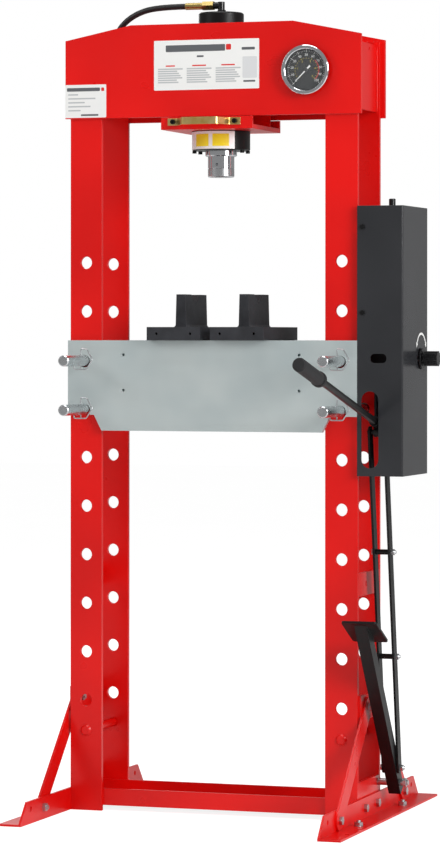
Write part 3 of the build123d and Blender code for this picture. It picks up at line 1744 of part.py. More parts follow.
make_link_spacers()
make_link_bolts()
make_release_knob()
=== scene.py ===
from math import cos, pi, radians, sin

import bpy
from mathutils import Matrix, Vector


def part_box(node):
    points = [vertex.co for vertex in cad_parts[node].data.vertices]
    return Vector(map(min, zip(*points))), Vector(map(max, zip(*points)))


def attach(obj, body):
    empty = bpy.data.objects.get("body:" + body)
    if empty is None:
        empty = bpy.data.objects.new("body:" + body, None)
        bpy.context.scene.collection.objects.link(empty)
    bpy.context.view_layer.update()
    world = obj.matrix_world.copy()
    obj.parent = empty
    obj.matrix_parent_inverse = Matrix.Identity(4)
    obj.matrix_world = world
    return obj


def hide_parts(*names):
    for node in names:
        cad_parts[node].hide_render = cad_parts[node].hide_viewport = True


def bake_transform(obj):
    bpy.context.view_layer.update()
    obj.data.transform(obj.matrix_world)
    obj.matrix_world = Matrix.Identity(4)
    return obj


bl_info = {
    "name": "Workshop Press",
    "version": (1, 0, 0),
    "blender": (4, 5, 0),
    "location": "View3D > Sidebar > Workshop Press",
    "description": "Dresses a floor-standing hydraulic press with finishes, hoses, dial marks and labels",
    "category": "Add Mesh",
}

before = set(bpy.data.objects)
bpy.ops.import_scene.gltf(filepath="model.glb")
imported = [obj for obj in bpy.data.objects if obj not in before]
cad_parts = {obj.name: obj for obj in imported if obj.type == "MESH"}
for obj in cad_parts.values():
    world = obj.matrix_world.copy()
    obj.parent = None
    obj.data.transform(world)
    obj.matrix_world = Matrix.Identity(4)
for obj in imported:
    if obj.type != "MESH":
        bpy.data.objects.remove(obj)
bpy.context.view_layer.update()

MM = 0.001

# The photograph's camera, in the press's own frame
CAMERA_PLACE = (2.5074, -7.5412, 1.0796)
CAMERA_YAW = 18.478
CAMERA_PITCH = -0.153
CAMERA_ROLL = -0.026
CAMERA_LENS = 149.21
CAMERA_SHIFT = -0.0914
SENSOR_HEIGHT = 36.0

# Weld beads under the beam across each bar, in millimetres
BEAM_WELD_X = (265, 340)
BEAM_WELD_Y = 93.0
BEAM_WELD_Z = 1572

# Weld beads in the corners between end plates and bars, in millimetres
END_WELD_X = 334
END_WELD_Y = 83
END_WELD_Z = (1588, 1732)

# Weld beads on the edges of the base and middle battens, in millimetres
BATTEN_WELD_X = (332, 339)
BATTEN_WELD_Y = 82.5
BATTEN_WELD_Z = (86, 500, 551)

# Width and ripple of the beads in millimetres, and how thin the bead is between ripples
PLATE_BEAD_WIDTH = 4
BATTEN_BEAD_WIDTH = 3
BEAD_RIPPLE = 2.2
BEAD_NECK = 0.78

# Labels on the beam's front, as left, right, bottom and top, in millimetres
BEAM_FRONT_Y = -101.0
LABELS = {"beam_label": (-136, 113, 1632, 1744), "corner_label": (-350, -251, 1574, 1649)}
LABEL_THICKNESS = 0.4
INK_THICKNESS = 0.1
LABEL_CORNER = 2.0

# The cylinder's plate, in degrees and millimetres: first angle, sweep, bottom, top, lift, finish
PLATE_BANDS = (
    (-68, 114, 1501, 1541, 0.25, "label_white"),
    (-40, 33, 1507, 1535, 0.45, "yellow_ink"),
    (1, 33, 1507, 1535, 0.45, "yellow_ink"),
)

# The gauge's dial: sizes in metres, and shares of the sweep or of the outer size
OUTER_MARK_RADIUS = 42 * MM
OUTER_NUMBER_RADIUS = 33.5 * MM
INNER_MARK_RADIUS = 26 * MM
INNER_NUMBER_RADIUS = 20.5 * MM
INNER_NUMBER_SHARE = 0.75
RED_BAND_RADIUS = 29.2 * MM
RED_BAND_WIDTH = 1.8 * MM
RED_BAND_START = 0.66
RED_BAND_SHARE = 0.34
MARKS_PER_DIVISION = 5
LONG_MARK = (5.5 * MM, 1.1 * MM)
SHORT_MARK = (3 * MM, 0.5 * MM)
DIAL_PRINT_LIFT = 0.2 * MM
BAND_PRINT_LIFT = 0.15 * MM
BAND_STEPS = 24
HUB_RADIUS = 4.2 * MM
HUB_LIFT = 2.6 * MM
HUB_FLATNESS = 0.35

# The bent arrow over the knob, in metres
ARROW_BACK = 8 * MM
ARROW_RISE = 15 * MM
ARROW_RADIUS = 41 * MM
ARROW_WIDTH = 5 * MM
ARROW_HEAD = 7.5 * MM
ARROW_REACH = radians(62)
ARROW_HEAD_AHEAD = radians(4)

# Studio floor: its size in metres, and the share and strength of the white that the camera sees
FLOOR_SIZE = 40
FLOOR_WHITE_SHARE = 0.6
FLOOR_WHITE_STRENGTH = 1.45

# The point that the lamps face, in metres
AIM_POINT = (0, 0, 0.95)

# Lamps, in metres: name, place, size, and power as a share of the key light's
LAMPS = (
    ("key_lamp", (5.2, -2.8, 2.8), 2.4, 1.0),
    ("front_lamp", (-4.6, -4.2, 4.2), 2.4, 0.35),
    ("top_lamp", (0.0, -0.6, 4.6), 2.0, 0.25),
    ("rim_lamp", (-2.6, 4.2, 3.2), 2.4, 0.35),
)

# Route of the hose from the cylinder's crimp sleeve to the pump, in millimetres
HOSE_ROUTE = [
    (-95.5, 0, 1829.5),
    (-150.5, 0, 1829.5),
    (-205, 4, 1822),
    (-252, 10, 1796),
    (-281, 20, 1752),
    (-286, 34, 1704),
    (-261, 52, 1668),
    (-213, 65, 1655),
    (-155, 73, 1655),
    (-96, 76, 1659),
    (-36, 77, 1661),
    (24, 76, 1660),
    (84, 74, 1658),
    (144, 68, 1658),
    (199, 56, 1660),
    (246, 35, 1654),
    (279, 9, 1631),
    (296, -12, 1588),
    (302, -24, 1534),
    (301, -28, 1477),
    (299, -26, 1418),
    (302, -13, 1364),
    (309, 7, 1314),
    (320, 25, 1266),
    (336, 37, 1222),
    (357, 41, 1186),
    (378, 42, 1154),
    (378, 42, 1118),
]

# Route of the gauge's pipe from its stem down to the pump, in millimetres
PIPE_ROUTE = [
    (225, -65, 1670),
    (225, -45, 1670),
    (241, -31, 1655),
    (265, -34, 1628),
    (287, -46, 1594),
    (299, -59, 1550),
    (303, -66, 1500),
    (303, -67, 1446),
    (304, -64, 1391),
    (306, -56, 1337),
    (312, -42, 1284),
    (322, -22, 1234),
    (334, 2, 1187),
    (345, 24, 1143),
    (352, 42, 1102),
    (352, 42, 1062),
]


# Small helpers


def linear(code):
    """An sRGB hex code such as E00C0C as linear red, green, blue and alpha."""
    parts = [int(code[i:i + 2], 16) / 255 for i in (0, 2, 4)]
    return [p / 12.92 if p <= 0.04045 else ((p + 0.055) / 1.055) ** 2.4 for p in parts] + [1.0]


def add_node(tree, kind, settings=None, values=None, links=None):
    """One node with its settings, socket values and links from other nodes' sockets."""
    node = tree.nodes.new(kind)
    for name, value in (settings or {}).items():
        setattr(node, name, value)
    for name, value in (values or {}).items():
        node.inputs[name].default_value = value
    for name, source in (links or {}).items():
        tree.links.new(source, node.inputs[name])
    return node


def new_material(name, shader_values):
    """A material with one Principled shader and the part's own coordinates."""
    made = bpy.data.materials.new(name)
    made.use_nodes = True
    tree = made.node_tree
    tree.nodes.clear()
    output = add_node(tree, "ShaderNodeOutputMaterial")
    shader = add_node(tree, "ShaderNodeBsdfPrincipled", values=shader_values)
    tree.links.new(shader.outputs["BSDF"], output.inputs["Surface"])
    place = add_node(tree, "ShaderNodeTexCoord").outputs["Object"]
    made.diffuse_color = shader_values["Base Color"]
    return made, tree, shader, place


def soften_edges(tree, shader, radius, height=None, strength=0.2, distance=0.0004):
    """Rounds the look of sharp edges, with an optional height pattern on top."""
    rounded = add_node(tree, "ShaderNodeBevel", {"samples": 4}, {"Radius": radius})
    normal = rounded.outputs["Normal"]
    if height is not None:
        bump = add_node(tree, "ShaderNodeBump", values={"Strength": strength, "Distance": distance},
                        links={"Height": height, "Normal": normal})
        normal = bump.outputs["Normal"]
    tree.links.new(normal, shader.inputs["Normal"])


def grain(tree, place, size_mm, detail=2.0, stretch=(1, 1, 1), roughness=0.5):
    """A noise pattern whose features are about size_mm across, stretched along an axis."""
    mapping = add_node(tree, "ShaderNodeMapping", values={"Scale": stretch}, links={"Vector": place})
    noise = add_node(tree, "ShaderNodeTexNoise",
                     values={"Scale": 1 / (size_mm * MM), "Detail": detail, "Roughness": roughness},
                     links={"Vector": mapping.outputs["Vector"]})
    return noise.outputs["Fac"]


def blend_colours(tree, shader, factor, low, high, start=0.3, end=0.7):
    """The shader's colour runs from low to high as the pattern goes from start to end."""
    ramp = add_node(tree, "ShaderNodeValToRGB", links={"Fac": factor})
    ramp.color_ramp.elements[0].position = start
    ramp.color_ramp.elements[0].color = linear(low)
    ramp.color_ramp.elements[1].position = end
    ramp.color_ramp.elements[1].color = linear(high)
    tree.links.new(ramp.outputs["Color"], shader.inputs["Base Color"])


def vary_roughness(tree, shader, factor, low, high):
    """The shader's roughness runs from low to high with the pattern."""
    spread = add_node(tree, "ShaderNodeMapRange", values={"To Min": low, "To Max": high},
                      links={"Value": factor})
    tree.links.new(spread.outputs["Result"], shader.inputs["Roughness"])


def clear_selection():
    """Nothing is selected, and Blender is in object mode."""
    if bpy.context.object and bpy.context.object.mode != "OBJECT":
        bpy.ops.object.mode_set(mode="OBJECT")
    bpy.ops.object.select_all(action="DESELECT")


def settle(name, material, body):
    """Names the active object, bakes its place into its mesh, paints it and lets it ride."""
    made = bpy.context.object
    made.name = name
    made.data.name = name
    bpy.ops.object.transform_apply(location=True, rotation=True, scale=True)
    if not made.data.materials:
        made.data.materials.append(material)
    if body:
        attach(made, body)
    return made


def join_all(parts):
    """Joins objects into the first one and leaves it active."""
    clear_selection()
    for part in parts:
        part.select_set(True)
    bpy.context.view_layer.objects.active = parts[0]
    if len(parts) > 1:
        bpy.ops.object.join()
    return bpy.context.object


def smooth(angle=40):
    """Smooth shading on the active object, with its sharp edges kept."""
    bpy.ops.object.shade_smooth_by_angle(angle=radians(angle))


# Materials, each named for what the real one is


def red_powder_coat():
    # Powder coat baked on steel plate: a deep gloss with a very fine orange peel
    made, tree, shader, place = new_material("red_powder_coat", {
        "Base Color": linear("D90506"), "Roughness": 0.3, "IOR": 1.5, "Specular IOR Level": 0.35})
    blend_colours(tree, shader, grain(tree, place, 260, detail=1), "D00603", "E60D08")
    vary_roughness(tree, shader, grain(tree, place, 60), 0.24, 0.36)
    soften_edges(tree, shader, 1.2 * MM, grain(tree, place, 2.6, detail=1), 0.12, 0.0002)
    return made


def zinc_coated_plate():
    # Passivated zinc on rolled plate: pale and satin, with long faint rolling marks
    made, tree, shader, place = new_material("zinc_coated_plate", {
        "Base Color": linear("C6CFCF"), "Metallic": 0.55, "Roughness": 0.42})
    marks = grain(tree, place, 9, detail=4, stretch=(0.06, 1, 1))
    blend_colours(tree, shader, grain(tree, place, 150, detail=2), "BCC8C9", "CDD6D5")
    vary_roughness(tree, shader, marks, 0.34, 0.5)
    soften_edges(tree, shader, 1.0 * MM, marks, 0.08, 0.0002)
    return made


def dark_grey_gloss_coat():
    # Dark grey gloss coat on folded sheet: it mirrors the lever faintly in its front
    made, tree, shader, place = new_material("dark_grey_gloss_coat", {
        "Base Color": linear("2A2B2E"), "Roughness": 0.3, "IOR": 1.5})
    blend_colours(tree, shader, grain(tree, place, 180, detail=1), "27282B", "2F3033")
    vary_roughness(tree, shader, grain(tree, place, 90), 0.16, 0.26)
    soften_edges(tree, shader, 1.0 * MM, grain(tree, place, 1.6, detail=1), 0.05, 0.0001)
    return made


def black_satin_paint():
    # Sprayed black enamel on bar and tube: satin, with soft highlights along edges
    made, tree, shader, place = new_material("black_satin_paint", {
        "Base Color": linear("0D0D0E"), "Roughness": 0.36, "IOR": 1.5, "Specular IOR Level": 0.25})
    vary_roughness(tree, shader, grain(tree, place, 30, detail=3), 0.3, 0.46)
    soften_edges(tree, shader, 1.2 * MM, grain(tree, place, 3, detail=2), 0.14, 0.0002)
    return made


def turned_bright_steel():
    # Turned bar stock: bright, with faint rings left by the tool
    made, tree, shader, place = new_material("turned_bright_steel", {
        "Base Color": linear("C9CBCD"), "Metallic": 1.0, "Roughness": 0.24})
    rings = grain(tree, place, 1.2, detail=1, stretch=(0.02, 1, 0.02))
    vary_roughness(tree, shader, grain(tree, place, 22, detail=3), 0.18, 0.34)
    soften_edges(tree, shader, 0.8 * MM, rings, 0.1, 0.0002)
    return made


def zinc_plated_fastener():
    # Bright zinc plating on bolts, nuts and wire: silvery with a soft sheen
    made, tree, shader, place = new_material("zinc_plated_fastener", {
        "Base Color": linear("C2C4C6"), "Metallic": 1.0, "Roughness": 0.3})
    vary_roughness(tree, shader, grain(tree, place, 5, detail=2), 0.22, 0.42)
    soften_edges(tree, shader, 0.5 * MM)
    return made


def blackened_cast_steel():
    # Oil-blackened forged block: dark, matt, with a slightly rough skin
    made, tree, shader, place = new_material("blackened_cast_steel", {
        "Base Color": linear("2B2C30"), "Metallic": 0.25, "Roughness": 0.55})
    skin = grain(tree, place, 4, detail=4, roughness=0.6)
    blend_colours(tree, shader, grain(tree, place, 50, detail=3), "222327", "35363B")
    vary_roughness(tree, shader, skin, 0.45, 0.68)
    soften_edges(tree, shader, 1.6 * MM, skin, 0.4, 0.0004)
    return made


def hard_chrome():
    # Ground and hard-chromed rod: nearly a mirror
    made, tree, shader, place = new_material("hard_chrome", {
        "Base Color": linear("D5D7DA"), "Metallic": 1.0, "Roughness": 0.1})
    vary_roughness(tree, shader, grain(tree, place, 14, stretch=(1, 1, 6)), 0.07, 0.16)
    soften_edges(tree, shader, 0.8 * MM)
    return made


def machined_brass():
    # Machined brass fitting: warm yellow, bright on its flats
    made, tree, shader, place = new_material("machined_brass", {
        "Base Color": linear("B9A468"), "Metallic": 1.0, "Roughness": 0.3})
    vary_roughness(tree, shader, grain(tree, place, 4), 0.2, 0.38)
    soften_edges(tree, shader, 0.6 * MM)
    return made


def yellow_passivated_strap():
    # Yellow zinc passivate on bent strip: gold with a faint rainbow cloud
    made, tree, shader, place = new_material("yellow_passivated_strap", {
        "Base Color": linear("D2B36A"), "Metallic": 0.9, "Roughness": 0.3})
    blend_colours(tree, shader, grain(tree, place, 25, detail=3), "C9A355", "DFC78A")
    soften_edges(tree, shader, 0.8 * MM)
    return made


def hose_rubber():
    # Extruded rubber cover: black, with a faint cloth-wrap print
    made, tree, shader, place = new_material("hose_rubber", {
        "Base Color": linear("121214"), "Roughness": 0.42, "IOR": 1.52})
    wrap = grain(tree, place, 1.5, detail=1)
    vary_roughness(tree, shader, grain(tree, place, 18), 0.36, 0.52)
    bump = add_node(tree, "ShaderNodeBump", values={"Strength": 0.12, "Distance": 0.0002},
                    links={"Height": wrap})
    tree.links.new(bump.outputs["Normal"], shader.inputs["Normal"])
    return made


def foam_grip():
    # Foamed rubber sleeve: dull black with tiny pores
    made, tree, shader, place = new_material("foam_grip", {
        "Base Color": linear("1B1B1D"), "Roughness": 0.78, "IOR": 1.5})
    soften_edges(tree, shader, 1.5 * MM, grain(tree, place, 1.2, detail=3), 0.35, 0.0003)
    return made


def pad_nylon():
    # Cast nylon pad: off-white and waxy
    made, tree, shader, place = new_material("pad_nylon", {
        "Base Color": linear("E4E0D4"), "Roughness": 0.5, "IOR": 1.53})
    soften_edges(tree, shader, 0.8 * MM, grain(tree, place, 6), 0.05, 0.0002)
    return made


def moulded_black_plastic():
    # Glossy moulded plastic, as on knobs and instrument bezels
    made, tree, shader, place = new_material("moulded_black_plastic", {
        "Base Color": linear("0F0F11"), "Roughness": 0.22, "IOR": 1.49})
    vary_roughness(tree, shader, grain(tree, place, 12), 0.18, 0.3)
    soften_edges(tree, shader, 1.0 * MM)
    return made


def printed_dial_black():
    # Matt black ink on an aluminium dial
    made, tree, shader, place = new_material("printed_dial_black", {
        "Base Color": linear("08090A"), "Roughness": 0.7, "IOR": 1.5, "Specular IOR Level": 0.15})
    vary_roughness(tree, shader, grain(tree, place, 6), 0.52, 0.66)
    return made


def ink(name, code, roughness=0.5):
    # Flat screen-printed ink or painted metal, with a faint unevenness
    made, tree, shader, place = new_material(name, {
        "Base Color": linear(code), "Roughness": roughness, "IOR": 1.5})
    vary_roughness(tree, shader, grain(tree, place, 8), roughness - 0.06, roughness + 0.06)
    return made


def clear_instrument_glass():
    # Thin flat glass: nearly all see-through, with a clean reflection
    made = new_material("clear_instrument_glass", {
        "Base Color": linear("F4F8FA"), "Roughness": 0.02, "IOR": 1.45, "Alpha": 0.04})[0]
    made.blend_method = "BLEND"
    return made


def spring_steel():
    # Oil-tempered spring wire: dark grey and smooth
    made, tree, shader, place = new_material("spring_steel", {
        "Base Color": linear("3A3B3E"), "Metallic": 1.0, "Roughness": 0.35})
    vary_roughness(tree, shader, grain(tree, place, 9), 0.28, 0.44)
    return made


MATERIALS = {}


def finish_of(name):
    """A finish by its name, made once."""
    makers = {
        "red": red_powder_coat, "zinc_plate": zinc_coated_plate, "grey_coat": dark_grey_gloss_coat,
        "black_paint": black_satin_paint, "bright_steel": turned_bright_steel,
        "fastener": zinc_plated_fastener, "cast": blackened_cast_steel, "chrome": hard_chrome,
        "brass": machined_brass, "gold": yellow_passivated_strap, "hose": hose_rubber,
        "grip": foam_grip, "nylon": pad_nylon, "plastic": moulded_black_plastic,
        "dial": printed_dial_black, "glass": clear_instrument_glass, "spring": spring_steel,
    }
    inks = {
        "white_ink": ("white_ink", "F2F2F0"), "yellow_ink": ("yellow_ink", "F2D818"),
        "red_ink": ("red_ink", "D8201C"), "label_white": ("label_white", "EEEEEC", 0.35),
        "label_grey": ("label_grey", "B9BBBD", 0.4), "label_pale": ("label_pale", "D6D7D8", 0.4),
        "label_dark": ("label_dark", "5C5E62", 0.4),
    }
    if name not in MATERIALS:
        MATERIALS[name] = makers[name]() if name in makers else ink(*inks[name])
    return MATERIALS[name]


NODE_FINISHES = {
    "red": ["uprights_left", "uprights_right", "beam_plate_front", "beam_plate_rear", "beam_end_plates",
            "battens", "base_crossbar", "foot_left", "foot_right", "braces", "carriage_rails", "box_lugs",
            "carriage_frame", "spreader_rods"],
    "fastener": ["frame_bolts", "frame_nuts", "anchor_bolts", "pin_clips", "pivot_rod", "link_bolts"],
    "zinc_plate": ["bed_plate_front", "bed_plate_rear", "bed_cross_plates"],
    "bright_steel": ["bed_pins", "gauge_pipe", "rocker_pin", "pump_plunger", "ram_pad"],
    "cast": ["v_block_left", "v_block_right", "pump_block"],
    "brass": ["pump_fittings", "hose_nut", "crimp_sleeve"],
    "hose": ["hose"],
    "plastic": ["gauge_case", "filler_plug", "release_knob", "elbow_fitting"],
    "dial": ["gauge_dial"],
    "glass": ["gauge_glass"],
    "grey_coat": ["pump_box", "oil_tank"],
    "nylon": ["slide_pads"],
    "gold": ["carriage_handle"],
    "black_paint": ["cylinder_barrel", "cylinder_cap", "socket_screws", "box_screws", "pump_rocker",
                    "hand_lever", "foot_pedal", "link_bars", "link_spacers"],
    "chrome": ["gland_ring", "ram", "gauge_bezel"],
    "spring": ["ram_return_spring"],
    "white_ink": ["gauge_pointer"],
    "grip": ["lever_grip"],
}


# Settings that a user would change


class PressHoseSettings(bpy.types.PropertyGroup):
    hose_diameter: bpy.props.FloatProperty(
        name="Hose diameter", description="Outside diameter of the hydraulic hose",
        default=13.5 * MM, unit="LENGTH")
    pipe_diameter: bpy.props.FloatProperty(
        name="Pipe diameter", description="Outside diameter of the gauge's pipe",
        default=6.0 * MM, unit="LENGTH")


class PressDialSettings(bpy.types.PropertyGroup):
    sweep: bpy.props.FloatProperty(
        name="Scale sweep", description="Angle from the first mark to the last",
        default=radians(270), subtype="ANGLE")
    divisions: bpy.props.IntProperty(
        name="Divisions", description="Numbered divisions on the outer scale", default=10)
    number_size: bpy.props.FloatProperty(
        name="Number size", description="Height of the outer scale's numbers",
        default=7.5 * MM, unit="LENGTH")


class PressStageSettings(bpy.types.PropertyGroup):
    floor_colour: bpy.props.FloatVectorProperty(
        name="Floor colour", description="Colour of the plain studio floor", size=4,
        subtype="COLOR", default=(0.93, 0.93, 0.93, 1.0))
    world_strength: bpy.props.FloatProperty(
        name="World light", description="Strength of the light from all round", default=0.32)
    key_power: bpy.props.FloatProperty(
        name="Key light", description="Power of the large lamp on the right", default=240.0)


# Operators


class PRESS_OT_finishes(bpy.types.Operator):
    """Gives every carried-over piece its finish"""
    bl_idname = "press.finishes"
    bl_label = "Finishes"

    def execute(self, context):
        for finish, nodes in NODE_FINISHES.items():
            for node in nodes:
                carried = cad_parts[node]
                carried.data.materials.clear()
                carried.data.materials.append(finish_of(finish))
        return {"FINISHED"}


def route_curve(name, route):
    """A smooth open spline whose control points are the route's, in metres."""
    line = bpy.data.curves.new(name, "CURVE")
    line.dimensions = "3D"
    line.resolution_u = 6
    spline = line.splines.new("NURBS")
    spline.points.add(len(route) - 1)
    for point, place in zip(spline.points, route):
        point.co = (place[0] * MM, place[1] * MM, place[2] * MM, 1)
    spline.order_u = 3
    spline.use_endpoint_u = True
    made = bpy.data.objects.new(name, line)
    bpy.context.collection.objects.link(made)
    return made


def line_points(made):
    """The points along a curve that has no bevel yet."""
    mesh = bpy.data.meshes.new_from_object(made)
    points = [tuple(v.co) for v in mesh.vertices]
    bpy.data.meshes.remove(mesh)
    return points


def make_tube(name, route, diameter, sides=6):
    """A round tube along a route, as a closed mesh, and the points it follows."""
    clear_selection()
    made = route_curve(name, route)
    points = line_points(made)
    made.data.bevel_depth = diameter / 2
    made.data.bevel_resolution = sides
    made.data.use_fill_caps = True
    made.select_set(True)
    bpy.context.view_layer.objects.active = made
    bpy.ops.object.convert(target="MESH")
    made = bpy.context.object
    made.name = name
    smooth()
    return made, points


class PRESS_OT_hose(bpy.types.Operator):
    """Lays the hydraulic hose from the cylinder to the pump"""
    bl_idname = "press.hose"
    bl_label = "Hydraulic hose"

    def execute(self, context):
        sizes = context.scene.press_hose
        made, points = make_tube("hydraulic_hose", HOSE_ROUTE, sizes.hose_diameter, sides=8)
        made.data.materials.clear()
        made.data.materials.append(finish_of("hose"))
        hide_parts("hose")
        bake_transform(made)
        return {"FINISHED"}


class PRESS_OT_gauge_pipe(bpy.types.Operator):
    """Lays the gauge's pipe down the right upright"""
    bl_idname = "press.gauge_pipe"
    bl_label = "Gauge pipe"

    def execute(self, context):
        sizes = context.scene.press_hose
        made = make_tube("gauge_line", PIPE_ROUTE, sizes.pipe_diameter, sides=5)[0]
        made.data.materials.clear()
        made.data.materials.append(finish_of("bright_steel"))
        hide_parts("gauge_pipe")
        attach(made, "frame")
        return {"FINISHED"}


def dial_place(radius, angle, depth):
    """A point on the dial, with the angle clockwise from straight up, seen from the front."""
    low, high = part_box("gauge_dial")
    centre_x = (low[0] + high[0]) / 2
    centre_z = (low[2] + high[2]) / 2
    return (centre_x + radius * sin(angle), low[1] - depth, centre_z + radius * cos(angle))


def dial_strip(radius, angle, length, width, depth=DIAL_PRINT_LIFT):
    """One short mark that points to the dial's middle."""
    clear_selection()
    bpy.ops.mesh.primitive_plane_add(size=1, location=dial_place(radius, angle, depth),
                                     rotation=(pi / 2, angle, 0))
    made = bpy.context.object
    made.scale = (width, length, 1)
    bpy.ops.object.transform_apply(location=True, rotation=True, scale=True)
    return made


def dial_number(text, radius, angle, height, depth=DIAL_PRINT_LIFT):
    """A number that stands upright on the dial, as a mesh."""
    clear_selection()
    bpy.ops.object.text_add(location=dial_place(radius, angle, depth), rotation=(pi / 2, 0, 0))
    made = bpy.context.object
    made.data.body = text
    made.data.size = height
    made.data.align_x = "CENTER"
    made.data.align_y = "CENTER"
    made.data.resolution_u = 4
    bpy.ops.object.convert(target="MESH")
    bpy.ops.object.transform_apply(location=True, rotation=True, scale=True)
    return bpy.context.object


def arc_band(centre, axis, start, radius, width, angle, steps):
    """A flat band bent round a centre, spun from one short edge."""
    clear_selection()
    bpy.ops.mesh.primitive_plane_add(size=1, location=(0, 0, 0))
    made = bpy.context.object
    bpy.ops.object.mode_set(mode="EDIT")
    bpy.ops.mesh.select_all(action="DESELECT")
    bpy.ops.object.mode_set(mode="OBJECT")
    corners = made.data.vertices
    corners[2].select = True
    corners[3].select = True
    bpy.ops.object.mode_set(mode="EDIT")
    bpy.ops.mesh.delete(type="VERT")
    bpy.ops.object.mode_set(mode="OBJECT")
    middle = Vector(centre)
    out = Vector(start)
    made.data.vertices[0].co = middle + out * (radius - width / 2)
    made.data.vertices[1].co = middle + out * (radius + width / 2)
    bpy.ops.object.mode_set(mode="EDIT")
    bpy.ops.mesh.select_all(action="SELECT")
    bpy.ops.mesh.spin(steps=steps, angle=-angle, center=centre, axis=axis)
    bpy.ops.object.mode_set(mode="OBJECT")
    return made


class PRESS_OT_dial_marks(bpy.types.Operator):
    """Prints the gauge's scales, numbers and red band on its dial"""
    bl_idname = "press.dial_marks"
    bl_label = "Dial marks"

    def execute(self, context):
        sizes = context.scene.press_dial
        sweep = sizes.sweep
        first = -sweep / 2
        count = sizes.divisions
        outer = []
        inner = []
        marks = count * MARKS_PER_DIVISION
        for i in range(marks + 1):
            angle = first + sweep * i / marks
            length, width = SHORT_MARK if i % MARKS_PER_DIVISION else LONG_MARK
            outer.append(dial_strip(OUTER_MARK_RADIUS, angle, length, width))
        for i in range(count + 1):
            angle = first + sweep * i / count
            outer.append(dial_number(str(i * 10), OUTER_NUMBER_RADIUS, angle, sizes.number_size))
        for i in range(count * 2 + 1):
            angle = first + sweep * i / (count * 2)
            inner.append(dial_strip(INNER_MARK_RADIUS, angle, (3.6 if i % 4 == 0 else 2) * MM, 0.7 * MM))
            if i % 4 == 0:
                inner.append(dial_number(str(i // 4), INNER_NUMBER_RADIUS, angle,
                                         sizes.number_size * INNER_NUMBER_SHARE))
        low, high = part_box("gauge_dial")
        centre = ((low[0] + high[0]) / 2, low[1] - BAND_PRINT_LIFT, (low[2] + high[2]) / 2)
        turn = first + sweep * RED_BAND_START
        band = arc_band(centre, (0, 1, 0), (sin(turn), 0, cos(turn)), RED_BAND_RADIUS, RED_BAND_WIDTH,
                        sweep * RED_BAND_SHARE, BAND_STEPS)
        join_all(outer)
        settle("dial_outer_scale", finish_of("white_ink"), "frame")
        join_all(inner)
        settle("dial_inner_scale", finish_of("yellow_ink"), "frame")
        join_all([band])
        settle("dial_red_band", finish_of("red_ink"), "frame")
        clear_selection()
        bpy.ops.mesh.primitive_uv_sphere_add(segments=32, ring_count=12, radius=HUB_RADIUS,
                                             location=dial_place(0, 0, HUB_LIFT))
        bpy.context.object.scale = (1, HUB_FLATNESS, 1)
        smooth()
        settle("pointer_hub", finish_of("plastic"), "pointer")
        return {"FINISHED"}


def wall_patch(x0, x1, z0, z1, y, thickness, name):
    """A thin plate that stands on a wall facing the front, with rounded corners."""
    clear_selection()
    bpy.ops.mesh.primitive_cube_add(size=1, location=((x0 + x1) / 2 * MM, (y - thickness / 2) * MM,
                                                      (z0 + z1) / 2 * MM))
    made = bpy.context.object
    made.name = name
    made.scale = ((x1 - x0) * MM, thickness * MM, (z1 - z0) * MM)
    bpy.ops.object.transform_apply(location=True, rotation=True, scale=True)
    bevel = made.modifiers.new("corners", "BEVEL")
    bevel.width = min(LABEL_CORNER, (z1 - z0) / 4, (x1 - x0) / 4) * MM
    bevel.segments = 3
    bevel.limit_method = "WEIGHT"
    weights = made.data.attributes.new("bevel_weight_edge", "FLOAT", "EDGE")
    for edge in made.data.edges:
        a, b = (made.data.vertices[i].co for i in edge.vertices)
        weights.data[edge.index].value = 1.0 if abs(a.y - b.y) > 0.5 * thickness * MM else 0.0
    bpy.ops.object.modifier_apply(modifier="corners")
    return made


LABEL_FIELDS = {
    "label_dark": [(-108, 33, 1718, 1733), (72, 103, 1719, 1725), (-34, -18, 1705, 1709),
                   (76, 104, 1647, 1651), (-346, -266, 1634, 1642), (-312, -270, 1578, 1582)],
    "red_ink": [(35, 47, 1720, 1733), (-108, -86, 1685, 1688), (-45, -12, 1685, 1688), (24, 56, 1685, 1688),
                (-263, -256, 1634, 1642)],
    "label_grey": [(x, x + 59 - (line * 13) % 17, 1678 - line * 5, 1681 - line * 5)
                   for x in (-126.5, -58, 10.6) for line in range(7)] + [
                       (-343, -343 + width, 1625 - line * 9, 1628 - line * 9)
                       for line, width in enumerate((24, 66, 40, 54, 30))],
    "label_pale": [(74, 108, 1656, 1704)],
}


class PRESS_OT_beam_labels(bpy.types.Operator):
    """Sticks two labels on the beam, with plain fields of colour"""
    bl_idname = "press.beam_labels"
    bl_label = "Beam labels"

    def execute(self, context):
        for name, bounds in LABELS.items():
            wall_patch(*bounds, BEAM_FRONT_Y, LABEL_THICKNESS, name)
            settle(name, finish_of("label_white"), "frame")
        ink_y = BEAM_FRONT_Y - LABEL_THICKNESS
        for finish, places in LABEL_FIELDS.items():
            join_all([wall_patch(*place, ink_y, INK_THICKNESS, "field") for place in places])
            settle("printed_" + finish, finish_of(finish), "frame")
        return {"FINISHED"}


